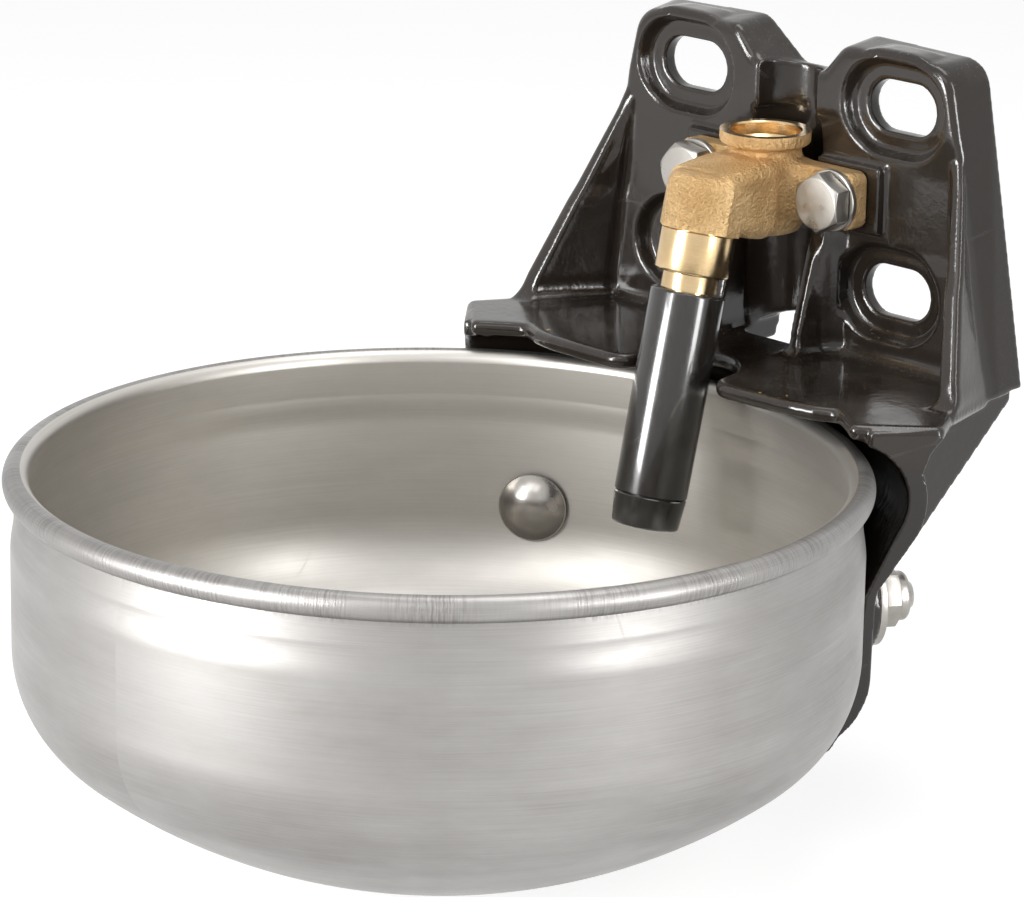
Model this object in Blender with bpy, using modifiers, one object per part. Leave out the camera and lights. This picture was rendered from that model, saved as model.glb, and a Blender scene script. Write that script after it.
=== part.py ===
# Wall-hung automatic livestock drinker: a round stainless bowl bolted into a cast
# bracket, with a brass tube valve that opens when the hanging tube is pushed aside.
#
# Lengths are in metres, +Z is up and the front faces -Y. The origin lies on the wall
# plane, at the middle of the four mounting slots. Heights named after the bowl are
# measured from the centre of its rolled rim, and radii from the bowl's upright axis.

from math import asin, cos, pi, radians, sin, sqrt, tan

import bmesh
import bpy
from mathutils import Matrix, Vector

# Clearances
seat_gap = 0.0003
hole_gap = 0.0003

# Bowl
wall_radius = 0.1298
bowl_standoff = 0.0412
bowl_axis_y = -(wall_radius + bowl_standoff)
rim_z = -0.067
sheet = 0.0015
corner_radius = 0.038
dome_radius = 0.185
base_radius = 0.035
bowl_depth = 0.1194
roll_inset = 0.0018
roll_centre_radius = wall_radius - roll_inset
roll_radius = 0.004
roll_end_angle = -70.0
neck_height = 0.011
neck_inset = 0.0012
wall_top_height = 0.022
bowl_segments = 48

# Bracket plate and its hollow back
plate_front = 0.014
plate_wall = 0.0045
side_wall = 0.005
edge_round = 0.003
ear_top_z = 0.048
ear_draft = 0.0025
ear_half_width = 0.069
ear_corner_radius = 0.011
ear_corner_radius_back = 0.019
ear_inner_x = 0.024
valley_z = 0.037
valley_half_width = 0.011
foot_z = -0.0544
foot_half_width = 0.088
slot_spacing_x = 0.088
slot_spacing_z = 0.060
slot_length = 0.028
slot_width = 0.018
slot_seat_depth = 0.0037
slot_seat_margin = 0.0087
slot_wall = 0.0043
pad_half_width = 0.041
pad_half_height = 0.0108
pad_height = 0.0042
groove_radius = 0.015
groove_axis_y = -0.019
top_groove_radius = 0.0125
top_groove_axis_y = -0.0165
groove_step_z = 0.022
groove_back_half_width = 0.0167
groove_back_low_z = -0.0520
rib_top_x = 0.0153
rib_face = 0.0038
rib_root = 0.0085
rib_foot_front = 0.030
window_top_z = -0.0465
window_rise = 0.004
window_half_width = 0.014

# Side gussets, from the plate's face down to the shelf
gusset_top_z = 0.0205
gusset_top_inner_x = 0.0664
gusset_top_outer_x = 0.0716
gusset_foot_inner_x = 0.0875
gusset_foot_outer_x = 0.0950
gusset_foot_front = 0.0425
gusset_root_top_x = 0.0672
gusset_root_foot_x = 0.0756
gusset_crease = 0.018
gusset_round = 0.0022

# Shelf over the bowl's rim
shelf_top_z = -0.0530
shelf_thickness = 0.0050
shelf_front_y = -0.0712
shelf_bow_x = 0.064
shelf_bow_y = -0.0672
shelf_nose_radius = wall_radius - 0.0046
shelf_tail_radius = wall_radius + 0.0237
notch_radius = 0.0175
notch_centre_y = -0.063
shelf_round = 0.0018

# Saddle: a curl that clears the rim, then a strap on the bowl's wall
saddle_half_angle = 41.9
saddle_steps = 72
curl_centre_radius = wall_radius - 0.0043
curl_centre_height = -0.0095
curl_inner_radius = 0.018
curl_wall = 0.0061
strap_wall = 0.0042
strap_corner_radius = 0.026
strap_end_below_corner = 0.0398
strap_end_thickness = 0.0118
skirt_radius = wall_radius + 0.0190
brace_outer_x = 0.084
brace_thickness = 0.006
brace_drop = 0.0435
brace_low_y = -0.048
brace_wall_height = 0.0045

# Bowl fasteners, size M10
carriage_angle = 31.0
carriage_above_corner = 0.0036
screw_radius = 0.005
cup_head_radius = 0.0115
cup_head_height = 0.0052
square_neck = 0.010
head_seal_radius = 0.011
head_seal_thickness = 0.0010
boss_radius = 0.0165
boss_face_radius = wall_radius + 0.0078
bolt_cut_reach = 0.015
big_washer_radius = 0.015
big_washer_thickness = 0.0025
nut_across_flats = 0.017
nut_face_share = 0.96
lock_nut_height = 0.010
lock_nut_hex_height = 0.0066
lock_collar_radius = 0.0078
insert_radius = 0.0067
insert_height = 0.0022
screw_end = 0.0018

# Valve fasteners, size M10
valve_bolt_x = 0.0288
valve_bolt_turn = {-1: 50.0, 1: 30.0}
hex_head_height = 0.0064
small_washer_radius = 0.010
small_washer_thickness = 0.0020
thin_nut_height = 0.0080
bolt_hole_gap = 0.0005

# Valve body
flange_half_width = 0.0368
flange_half_height = 0.0093
flange_thickness = 0.0070
inlet_y = -0.0262
inlet_top_z = 0.0182
inlet_ring_radius = 0.0147
inlet_ring_height = 0.0042
inlet_bore_radius = 0.0096
inlet_bore_depth = 0.0155
barrel_radius = 0.0134
neck_radius = 0.0121
barrel_low_z = -0.0152
arm_half_width = 0.01355
arm_top_z = 0.0106
arm_shoulder = 0.0042
arm_low_z = -0.0150
passage_radius = 0.0042

# Outlet, measured along its own sloping axis from the lower face of the ring
outlet_slope = 13.25
outlet_y = -0.0597
outlet_z = -0.0236
outlet_flat = 0.00375
outlet_reach = 0.01365
outlet_top = 0.0322
ring_radius = 0.012
ring_length = 0.0136
ring_hole_radius = 0.0099
ring_lip = 0.0019
spigot_radius = 0.0098
spigot_top = 0.020
seat_bore_radius = 0.0046
web_low = 0.014
chamber_top = 0.0298

# Moving tube
ball_centre = 0.006
ball_radius = 0.0104
ball_top = 0.0098
ball_slip = 0.0003
slip_ring_height = 0.0014
collar_radius = 0.0090
tube_bore_radius = 0.0062
tube_socket_length = 0.016
tube_top = -0.0057
tube_length = 0.0763
tube_radius = 0.0120
tube_seam_radius = 0.0117
tube_tip_radius = 0.01065
tip_length = 0.0105
tip_spigot_length = 0.006
sleeve_bore_radius = 0.0079

# Valve internals
stem_radius = 0.00175
foot_radius = 0.0076
foot_thickness = 0.0012
foot_hole_radius = 0.0016
foot_hole_circle = 0.0044
valve_seal_radius = 0.0082
valve_seal_thickness = 0.0020
disc_radius = 0.0086
disc_thickness = 0.0018
stem_nut_across_flats = 0.0070
stem_nut_height = 0.0025
stem_end = 0.0006
spring_radius = 0.0066
spring_wire_radius = 0.00045
spring_turns = 3.5

round_segments = 20
fine_segments = 28
nut_segments = 18


# Scene helpers

def clear_scene():
    for item in list(bpy.data.objects):
        bpy.data.objects.remove(item, do_unlink=True)


def make_collection(name):
    found = bpy.data.collections.get(name)
    if found is None:
        found = bpy.data.collections.new(name)
        bpy.context.scene.collection.children.link(found)
    return found


def make_material(name, colour, metallic, roughness):
    material = bpy.data.materials.new(name)
    material.use_nodes = True
    shader = material.node_tree.nodes["Principled BSDF"]
    shader.inputs["Base Color"].default_value = (*colour, 1.0)
    shader.inputs["Metallic"].default_value = metallic
    shader.inputs["Roughness"].default_value = roughness
    material.diffuse_color = (*colour, 1.0)
    return material


def make_object(name, mesh, material, collection):
    item = bpy.data.objects.new(name, mesh)
    collection.objects.link(item)
    if material is not None:
        mesh.materials.append(material)
    return item


def as_helper(item):
    for holder in list(item.users_collection):
        holder.objects.unlink(item)
    helpers.objects.link(item)
    item.hide_render = True
    item.display_type = "WIRE"
    return item


def place(item, location, rotation=(0.0, 0.0, 0.0), parent=None):
    item.location = location
    item.rotation_euler = rotation
    item.parent = parent
    return item


def combine(target, other, operation):
    modifier = target.modifiers.new(operation.title() + " " + other.name, "BOOLEAN")
    modifier.operation = operation
    modifier.solver = "EXACT"
    modifier.object = as_helper(other)
    return target


def smooth(item, angle=35.0):
    item.data.shade_smooth()
    item.data.set_sharp_from_angle(angle=radians(angle))
    return item


def bevel(item, width, segments=2, angle=30.0):
    modifier = item.modifiers.new("Rounded edges", "BEVEL")
    modifier.width = width
    modifier.segments = segments
    modifier.limit_method = "ANGLE"
    modifier.angle_limit = radians(angle)
    modifier.use_clamp_overlap = True
    return item


# Shape helpers

def arc(centre, radius, start, end, steps):
    points = []
    for step in range(steps + 1):
        angle = radians(start + (end - start) * step / steps)
        points.append((centre[0] + radius * cos(angle), centre[1] + radius * sin(angle)))
    return points


def turned(name, profile, material, segments=round_segments, closed=True):
    # The profile holds (radius, height) points that run down the outer side.
    mesh = bpy.data.meshes.new(name)
    points = [(radius, 0.0, height) for radius, height in profile]
    edges = [(index, index + 1) for index in range(len(points) - 1)]
    if closed:
        edges.append((len(points) - 1, 0))
    mesh.from_pydata(points, edges, [])
    item = make_object(name, mesh, material, parts)
    screw = item.modifiers.new("Turn", "SCREW")
    screw.axis = "Z"
    screw.angle = 2.0 * pi
    screw.steps = segments
    screw.render_steps = segments
    screw.use_merge_vertices = True
    screw.merge_threshold = 0.00001
    screw.use_smooth_shade = True
    return item


def prism(name, outline, low, high, material=None):
    # Extrudes an (x, y) outline from one height to another.
    mesh = bpy.data.meshes.new(name)
    shape = bmesh.new()
    corners = [shape.verts.new((x, y, low)) for x, y in outline]
    base = shape.faces.new(corners)
    raised = bmesh.ops.extrude_face_region(shape, geom=[base])
    moved = [part for part in raised["geom"] if isinstance(part, bmesh.types.BMVert)]
    bmesh.ops.translate(shape, verts=moved, vec=(0.0, 0.0, high - low))
    bmesh.ops.recalc_face_normals(shape, faces=shape.faces)
    shape.to_mesh(mesh)
    shape.free()
    return make_object(name, mesh, material, parts)


def loft(name, rings, material=None, closed=False):
    # Joins rings of equal length into one closed skin, with flat ends or with the last ring
    # joined to the first.
    mesh = bpy.data.meshes.new(name)
    shape = bmesh.new()
    rows = [[shape.verts.new(point) for point in ring] for ring in rings]
    count = len(rows[0])
    uppers = rows[1:] + rows[:1] if closed else rows[1:]
    for lower, upper in zip(rows, uppers):
        for index in range(count):
            after = (index + 1) % count
            shape.faces.new((lower[index], lower[after], upper[after], upper[index]))
    if not closed:
        shape.faces.new(rows[0])
        shape.faces.new(rows[-1])
    bmesh.ops.recalc_face_normals(shape, faces=shape.faces)
    if shape.calc_volume(signed=True) < 0.0:
        bmesh.ops.reverse_faces(shape, faces=shape.faces)
    shape.to_mesh(mesh)
    shape.free()
    return make_object(name, mesh, material, parts)


def box(name, low, high):
    size = [b - a for a, b in zip(low, high)]
    middle = [(a + b) / 2.0 for a, b in zip(low, high)]
    mesh = bpy.data.meshes.new(name)
    shape = bmesh.new()
    bmesh.ops.create_cube(shape, size=1.0)
    bmesh.ops.scale(shape, verts=shape.verts, vec=size)
    bmesh.ops.translate(shape, verts=shape.verts, vec=middle)
    shape.to_mesh(mesh)
    shape.free()
    return make_object(name, mesh, None, parts)


def rod(name, radius, low, high, sides=round_segments, material=None):
    mesh = bpy.data.meshes.new(name)
    shape = bmesh.new()
    bmesh.ops.create_cone(shape, cap_ends=True, segments=sides, radius1=radius, radius2=radius,
                          depth=high - low)
    bmesh.ops.translate(shape, verts=shape.verts, vec=(0.0, 0.0, (low + high) / 2.0))
    shape.to_mesh(mesh)
    shape.free()
    return make_object(name, mesh, material, parts)


def circle_ring(radius, z, turn=0.0):
    step = 2.0 * pi / nut_segments
    return [(radius * cos(step * index + turn), radius * sin(step * index + turn), z)
            for index in range(nut_segments)]


def hexagon_ring(across_flats, z, chamfer_side=0, turn=0.0):
    # Ring round a hexagon. A chamfer side of 1 or -1 lowers or lifts it along a 30 degree cone.
    flat = across_flats / 2.0
    face_radius = flat * nut_face_share
    points = []
    for index in range(nut_segments):
        angle = 2.0 * pi * index / nut_segments
        from_flat = (angle + 1e-9) % (pi / 3.0) - pi / 6.0
        reach = flat / cos(from_flat)
        drop = chamfer_side * (reach - face_radius) * tan(pi / 6.0)
        points.append((reach * cos(angle + turn), reach * sin(angle + turn), z - drop))
    return points


def stadium(length, width, margin=0.0, steps=8):
    radius = width / 2.0 + margin
    offset = (length - width) / 2.0
    right = arc((offset, 0.0), radius, -90.0, 90.0, steps)
    left = arc((-offset, 0.0), radius, 90.0, 270.0, steps)
    return right + left


# Frames: local +Z points to the front, or out from the bowl's axis

facing_front = (radians(90.0), 0.0, 0.0)
outlet_turn = (radians(-outlet_slope), 0.0, 0.0)


def radial_turn(side):
    return Matrix.Rotation(radians(-side * carriage_angle), 3, "Z") @ Matrix.Rotation(
        radians(-90.0), 3, "X")


def place_radial(item, side):
    place(item, (0.0, bowl_axis_y, rim_z + carriage_height), radial_turn(side).to_euler())
    return item


def place_at_outlet(item, parent=None):
    return place(item, (0.0, outlet_y, outlet_z), outlet_turn, parent)


# Bowl

def dome_arcs():
    # The corner arc touches the wall and the dome. The dome ends at the flat base.
    base_angle = asin(base_radius / dome_radius)
    dome_centre = -bowl_depth + dome_radius * cos(base_angle)
    reach = dome_radius - corner_radius
    centre_radius = wall_radius - corner_radius
    corner_height = dome_centre - sqrt(reach ** 2 - centre_radius ** 2)
    slope = asin(centre_radius / reach)
    return dome_centre, corner_height, base_angle, slope


def bowl_skin(offset, corner_steps=4, dome_steps=3):
    # One side of the sheet below the neck, from the base to the wall.
    dome_centre, corner_height, base_angle, slope = dome_arcs()
    dome = arc((0.0, dome_centre), dome_radius - offset, -90.0 + base_angle * 180.0 / pi,
               -90.0 + slope * 180.0 / pi, dome_steps)
    corner = arc((wall_radius - corner_radius, corner_height), corner_radius - offset,
                 -90.0 + slope * 180.0 / pi, 0.0, corner_steps)
    return dome + corner[1:]


def skin_radius(height, offset):
    # Radius of the wall or the corner at a height, this far inside the bowl's outer skin.
    corner_height = dome_arcs()[1]
    if height >= corner_height:
        return wall_radius - offset
    drop = corner_height - height
    return wall_radius - corner_radius + sqrt((corner_radius - offset) ** 2 - drop ** 2)


def roll_line(radius, steps=6):
    return arc((roll_centre_radius, 0.0), radius, 180.0, roll_end_angle, steps)


def build_bowl(material):
    inner = [(0.0, -bowl_depth + sheet)] + bowl_skin(sheet)
    inner += [(wall_radius - sheet, -wall_top_height),
              (wall_radius - neck_inset - sheet, -neck_height)]
    inner += roll_line(roll_radius)
    outer = list(reversed(roll_line(roll_radius - sheet)))
    outer += [(wall_radius - neck_inset, -neck_height), (wall_radius, -wall_top_height)]
    outer += list(reversed(bowl_skin(0.0)))
    outer += [(0.0, -bowl_depth)]
    item = turned("bowl", inner + outer, material, bowl_segments, closed=False)
    place(item, (0.0, bowl_axis_y, rim_z))
    for side in (-1, 1):
        hole = box("bowl bolt hole", (-square_hole, -square_hole, wall_radius - bolt_cut_reach),
                   (square_hole, square_hole, wall_radius + bolt_cut_reach))
        combine(item, place_radial(hole, side), "DIFFERENCE")
    return item


# Bracket

def side_x(z):
    # Half width of the side walls' outer face at a height.
    share = (ear_top_z - z) / (ear_top_z - foot_z)
    return ear_half_width + (foot_half_width - ear_half_width) * share


def plate_outline(inset, draft, corner_radius):
    # Upper outline of the two ears and the valley, as (x, z) points.
    top = ear_top_z - inset - draft
    corner = corner_radius - inset
    centre_z = ear_top_z - draft - corner_radius
    centre_x = side_x(centre_z) - draft * 0.5 - corner_radius
    right = [(0.0, valley_z - inset - draft), (valley_half_width, valley_z - inset - draft)]
    right += [(ear_inner_x + inset, top)]
    right += arc((centre_x, centre_z), corner, 90.0, 8.0, 6)
    right += [(side_x(gusset_top_z) - inset, gusset_top_z), (foot_half_width - inset, foot_z + inset)]
    left = [(-x, z) for x, z in reversed(right) if x > 0.0001]
    return right + left


def plate_ring(inset, draft, y):
    back = (1.0 - draft / ear_draft) * (ear_corner_radius_back - ear_corner_radius)
    return [(x, y, z) for x, z in plate_outline(inset, draft, ear_corner_radius + back)]


def build_plate_block():
    rings = []
    for step in range(4):
        angle = radians(90.0 * step / 3)
        inset = edge_round * (1.0 - sin(angle))
        rings.append(plate_ring(inset, ear_draft, -plate_front + edge_round * (1.0 - cos(angle))))
    rings.append(plate_ring(0.0, 0.0, 0.0))
    return loft("plate block", rings)


def build_hollow():
    rings = [plate_ring(side_wall + 0.0015, ear_draft, -plate_front + plate_wall),
             plate_ring(side_wall, 0.0, 0.002)]
    return loft("plate hollow", rings)


def turned_to_front(item, x=0.0, z=0.0):
    return place(item, (x, 0.0, z), facing_front)


def slot_places():
    for side_sign in (-1, 1):
        for level_sign in (-1, 1):
            yield side_sign * slot_spacing_x / 2.0, level_sign * slot_spacing_z / 2.0


def gusset_ring(side, z):
    # Plan section of the gusset and side wall at one height.
    drop = (gusset_top_z - z) / (gusset_top_z - shelf_top_z)
    start = plate_front - 0.001
    front = start + (gusset_foot_front - start) * drop
    inner = gusset_top_inner_x + (gusset_foot_inner_x - gusset_top_inner_x) * drop
    outer = gusset_top_outer_x + (gusset_foot_outer_x - gusset_top_outer_x) * drop
    root = gusset_root_top_x + (gusset_root_foot_x - gusset_root_top_x) * drop
    skin = side_x(z) - 0.0002
    depth = min(gusset_round, (front - plate_front + 0.0025) * 0.6)
    crease = min(gusset_crease, front - depth - 0.0002)
    points = [(root, -plate_front + 0.0025)]
    for start_x, turn in ((inner + gusset_round, 180.0), (outer - gusset_round, 270.0)):
        for x, y in arc((0.0, 0.0), 1.0, turn, turn + 90.0, 3):
            points.append((start_x + gusset_round * x, -front + depth + depth * y))
    points += [(skin, -crease), (skin, -0.004), (skin - 0.004, -0.004)]
    return [(side * x, y, z) for x, y in points]


def build_gusset(side):
    foot = shelf_top_z - shelf_thickness / 2.0
    levels = [gusset_top_z + (foot - gusset_top_z) * step / 4.0 for step in range(5)]
    return loft("side gusset", [gusset_ring(side, z) for z in levels])


def build_rib(side):
    # Rib beside the groove, from the valve pad to the shelf.
    pad_face = plate_front + pad_height
    rings = []
    for z, front in ((-pad_half_height + 0.003, pad_face), (shelf_top_z - 0.002, rib_foot_front)):
        ring = [(rib_top_x, -0.011), (rib_top_x, -front), (rib_top_x + rib_face, -front),
                (rib_top_x + rib_root, -plate_front - 0.002), (rib_top_x + rib_root + 0.002, -0.011)]
        rings.append([(side * x, y, z) for x, y in ring])
    return bevel(loft("groove rib", rings), 0.0011)


def shelf_outline():
    def on_radius(radius, angle):
        turn = radians(angle)
        return radius * sin(turn), bowl_axis_y + radius * cos(turn)

    notch = arc((0.0, notch_centre_y), notch_radius, 90.0, 0.0, 6)
    corner = notch_centre_y - shelf_front_y
    right = notch + arc((notch_radius + corner, notch_centre_y), corner, 180.0, 270.0, 4)[1:]
    right += [(shelf_bow_x - 0.012, shelf_front_y + 0.0006), (shelf_bow_x, shelf_bow_y)]
    right += [on_radius(shelf_nose_radius, saddle_half_angle - 4.0),
              on_radius(shelf_nose_radius, saddle_half_angle - 1.2),
              on_radius(shelf_tail_radius, saddle_half_angle)]
    right += [(gusset_foot_outer_x - 0.0005, -gusset_foot_front),
              (foot_half_width, -gusset_crease), (brace_outer_x, -0.0125), (brace_outer_x, -0.0010)]
    return right + [(-x, y) for x, y in reversed(right) if x > 0.0001]


def build_shelf():
    shelf = prism("shelf", shelf_outline(), shelf_top_z - shelf_thickness, shelf_top_z)
    return bevel(shelf, shelf_round, segments=2, angle=40.0)


def curl_line(radius, start, steps, tail_radius, tail_height):
    # Round back of the curl, then a straight run on to the strap.
    centre = (curl_centre_radius, curl_centre_height)
    return arc(centre, radius, start, -34.0, steps) + [(tail_radius, tail_height)]


def strap_inner(offset):
    # Bowl's corner below the curl and a little of the dome, one seat gap out, plus an offset.
    gap = seat_gap + offset
    dome_centre, corner_height, base_angle, slope = dome_arcs()
    corner = arc((wall_radius - corner_radius, corner_height), corner_radius + gap,
                 0.0, -90.0 + slope * 180.0 / pi, 4)
    dome = arc((0.0, dome_centre), dome_radius + gap, -90.0 + slope * 180.0 / pi,
               -93.2 + slope * 180.0 / pi, 1)
    return corner + dome[1:]


def saddle_profile():
    corner_height = dome_arcs()[1]
    outside = wall_radius + seat_gap + strap_wall
    inner = curl_line(curl_inner_radius, 74.0, 6, wall_radius + seat_gap + 0.0006, corner_height + 0.0115)
    inner += strap_inner(0.0)
    low = corner_height - strap_end_below_corner
    centre = (outside - strap_corner_radius, corner_height - (corner_radius - strap_corner_radius) * 1.12)
    outer = [(outside - strap_end_thickness - 0.0030, low), (outside - strap_end_thickness, low + 0.0020)]
    outer += arc(centre, strap_corner_radius, -50.0, 0.0, 4)
    outer += [(outside + 0.0003, corner_height + 0.0100)]
    outer += list(reversed(curl_line(curl_inner_radius + curl_wall, 22.0, 4, outside + 0.0012,
                                     corner_height + 0.0140)))
    top = shelf_top_z - rim_z
    outer += [(skirt_radius, top - 0.0120), (skirt_radius + 0.0012, top - 0.0085),
              (shelf_tail_radius, top - 0.0036), (shelf_tail_radius - 0.0015, top - 0.0012),
              (wall_radius + 0.0014, top - 0.0015)]
    return list(reversed(inner + outer))


def build_saddle():
    ring = turned("saddle", saddle_profile(), None, saddle_steps)
    place(ring, (0.0, bowl_axis_y, rim_z))
    reach = shelf_tail_radius + 0.02
    wedge = [(0.0, 0.0)]
    wedge += [(reach * sin(radians(angle)), reach * cos(radians(angle)))
              for angle in (-saddle_half_angle, -saddle_half_angle / 2.0, 0.0,
                            saddle_half_angle / 2.0, saddle_half_angle)]
    sector = prism("saddle sector", wedge, -bowl_depth - 0.01, shelf_top_z - rim_z + 0.01)
    place(sector, (0.0, bowl_axis_y, rim_z))
    return combine(ring, sector, "INTERSECT")


def build_clearance():
    # Space of the bowl and its rim, cut from all that meets the saddle from behind.
    skin = 0.0015
    top = shelf_top_z - shelf_thickness - rim_z - 0.0006
    start = asin((top - curl_centre_height) / (curl_inner_radius + skin)) * 180.0 / pi
    line = curl_line(curl_inner_radius + skin, start, 6, wall_radius + skin, dome_arcs()[1] + 0.0115)
    line += strap_inner(skin)
    deep = -bowl_depth - 0.03
    profile = [(0.0, top)] + line + [(wall_radius * 0.6, deep), (0.0, deep)]
    cutter = turned("bowl clearance", profile, None, saddle_steps - 5, closed=False)
    return place(cutter, (0.0, bowl_axis_y, rim_z))


def build_brace(side):
    # Web under the side wall, sloping from the wall plane down to the saddle.
    low = foot_z - brace_drop
    front = bowl_axis_y + sqrt(wall_radius ** 2 - brace_outer_x ** 2)
    outline = [(-0.001, foot_z + 0.004), (-0.001, foot_z - brace_wall_height), (brace_low_y, low),
               (front, low), (front, shelf_top_z - 0.002), (-0.030, shelf_top_z - 0.002)]
    web = prism("brace", outline, brace_outer_x - brace_thickness, brace_outer_x)
    bevel(web, 0.0012, segments=1)
    turn = Matrix(((0.0, 0.0, side), (1.0, 0.0, 0.0), (0.0, 1.0, 0.0)))
    if side < 0:
        web.data.transform(Matrix.Scale(-1.0, 4, (0.0, 0.0, 1.0)))
        web.data.flip_normals()
        turn = Matrix(((0.0, 0.0, 1.0), (1.0, 0.0, 0.0), (0.0, 1.0, 0.0)))
    return place(web, (0.0, 0.0, 0.0), turn.to_euler())


def build_bracket(material):
    item = build_plate_block()
    item.name = "bracket"
    item.data.materials.append(material)
    combine(item, build_hollow(), "DIFFERENCE")
    for x, z in slot_places():
        backing = prism("slot backing", stadium(slot_length, slot_width, slot_seat_margin + 0.003),
                        plate_front - slot_seat_depth - slot_wall, plate_front - 0.001)
        combine(item, turned_to_front(backing, x, z), "UNION")
    groove_back = box("groove back", (-groove_back_half_width, -plate_front + 0.001, groove_back_low_z),
                      (groove_back_half_width, 0.0, valley_z - 0.003))
    combine(item, bevel(groove_back, 0.0025), "UNION")
    pad = prism("valve pad", [(-pad_half_width, -pad_half_height), (pad_half_width, -pad_half_height),
                              (pad_half_width, pad_half_height), (-pad_half_width, pad_half_height)],
                plate_front - 0.002, plate_front + pad_height)
    combine(item, turned_to_front(bevel(pad, 0.0012)), "UNION")
    combine(item, build_shelf(), "UNION")
    for side in (-1, 1):
        combine(item, build_gusset(side), "UNION")
        combine(item, build_rib(side), "UNION")
        combine(item, build_brace(side), "UNION")
        boss = rod("bolt boss", boss_radius, wall_radius - 0.004, boss_face_radius + 0.001)
        combine(item, place_radial(boss, side), "UNION")
    combine(item, build_clearance(), "DIFFERENCE")
    combine(item, build_saddle(), "UNION")
    cut_bracket(item)
    return smooth(item, 28.0)


def build_window():
    # Arched opening behind the shelf, right through to the wall.
    side_top = window_top_z - window_rise
    radius = (window_half_width ** 2 + window_rise ** 2) / (2.0 * window_rise)
    spread = asin(window_half_width / radius) * 180.0 / pi
    crown = arc((0.0, window_top_z - radius), radius, 90.0 - spread, 90.0 + spread, 6)
    outline = [(-window_half_width, foot_z - 0.008), (window_half_width, foot_z - 0.008),
               (window_half_width, side_top)] + crown[1:-1] + [(-window_half_width, side_top)]
    return turned_to_front(prism("window", outline, -0.003, 0.0178))


def cut_bracket(item):
    groove = rod("groove", groove_radius, shelf_top_z + 0.0006, groove_step_z, fine_segments)
    combine(item, place(groove, (0.0, groove_axis_y, 0.0)), "DIFFERENCE")
    top_groove = rod("top groove", top_groove_radius, groove_step_z - 0.001, 0.06, fine_segments)
    combine(item, place(top_groove, (0.0, top_groove_axis_y, 0.0)), "DIFFERENCE")
    combine(item, build_window(), "DIFFERENCE")
    for x, z in slot_places():
        seat = prism("slot seat", stadium(slot_length, slot_width, slot_seat_margin),
                     plate_front - slot_seat_depth, plate_front + 0.001)
        combine(item, turned_to_front(seat, x, z), "DIFFERENCE")
        slot = prism("slot", stadium(slot_length, slot_width), -0.002, plate_front + 0.004)
        combine(item, turned_to_front(slot, x, z), "DIFFERENCE")
    for side in (-1, 1):
        hole = rod("valve bolt hole", screw_radius + bolt_hole_gap, 0.002, plate_front + pad_height + 0.003)
        combine(item, turned_to_front(hole, side * valve_bolt_x), "DIFFERENCE")
        spot = rod("spot face", boss_radius + 0.001, boss_face_radius, boss_face_radius + 0.02)
        combine(item, place_radial(spot, side), "DIFFERENCE")
        neck = box("bracket bolt hole", (-square_hole, -square_hole, wall_radius - 0.005),
                   (square_hole, square_hole, wall_radius + bolt_cut_reach))
        combine(item, place_radial(neck, side), "DIFFERENCE")


# Bowl fasteners

square_hole = square_neck / 2.0 + hole_gap
carriage_height = dome_arcs()[1] + carriage_above_corner
seal_side = sqrt((wall_radius - sheet - seat_gap) ** 2 - head_seal_radius ** 2)
seal_foot = skin_radius(carriage_height - head_seal_radius, sheet) - seat_gap
seal_back = min(seal_side, seal_foot) * cos(pi / bowl_segments)
head_back = seal_back - head_seal_thickness - seat_gap
washer_face = boss_face_radius + seat_gap
lock_nut_face = washer_face + big_washer_thickness + seat_gap


def build_carriage_bolt(side, material):
    tip = lock_nut_face + lock_nut_height + screw_end
    dome_sphere = (cup_head_radius ** 2 + cup_head_height ** 2) / (2.0 * cup_head_height)
    rise = asin(cup_head_radius / dome_sphere)
    profile = [(0.0, tip), (screw_radius - 0.001, tip), (screw_radius, tip - 0.001),
               (screw_radius, head_back), (cup_head_radius, head_back)]
    for step in range(1, 6):
        angle = rise * (1.0 - step / 5.0)
        height = head_back - cup_head_height + dome_sphere * (1.0 - cos(angle))
        profile.append((dome_sphere * sin(angle), height))
    profile[-1] = (0.0, head_back - cup_head_height)
    item = turned("carriage_bolt_" + hand(side), profile, material, round_segments, closed=False)
    neck = box("square neck", (-square_neck / 2.0, -square_neck / 2.0, head_back - 0.0005),
               (square_neck / 2.0, square_neck / 2.0, wall_radius + strap_wall))
    combine(item, place_radial(neck, side), "UNION")
    return place_radial(item, side)


def ring_profile(inner, outer, low, high, chamfer=0.0):
    if chamfer == 0.0:
        return [(inner, high), (outer, high), (outer, low), (inner, low)]
    return [(inner, high), (outer - chamfer, high), (outer, high - chamfer), (outer, low), (inner, low)]


def build_head_seal(side, material):
    inner = square_neck / sqrt(2.0) + hole_gap
    profile = ring_profile(inner, head_seal_radius, seal_back - head_seal_thickness, seal_back)
    item = turned("bowl_bolt_seal_" + hand(side), profile, material)
    return place_radial(item, side)


def build_bowl_washer(side, material):
    profile = ring_profile(screw_radius + hole_gap, big_washer_radius, washer_face,
                           washer_face + big_washer_thickness, 0.0004)
    item = turned("bowl_washer_" + hand(side), profile, material)
    return place_radial(item, side)


def build_lock_nut(side, material):
    low = lock_nut_face
    hex_top = low + lock_nut_hex_height
    top = low + lock_nut_height
    bore = screw_radius + hole_gap
    pocket = insert_radius + hole_gap
    seat = top - insert_height - seat_gap
    rings = [circle_ring(bore, seat), circle_ring(bore, low),
             circle_ring(nut_across_flats / 2.0 * nut_face_share, low),
             hexagon_ring(nut_across_flats, low, -1), hexagon_ring(nut_across_flats, hex_top, 1),
             circle_ring(lock_collar_radius, hex_top), circle_ring(lock_collar_radius, top - 0.0016),
             circle_ring(lock_collar_radius - 0.0012, top), circle_ring(pocket, top),
             circle_ring(pocket, seat)]
    item = loft("lock_nut_" + hand(side), rings, material, closed=True)
    smooth(item)
    return place_radial(item, side)


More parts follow.
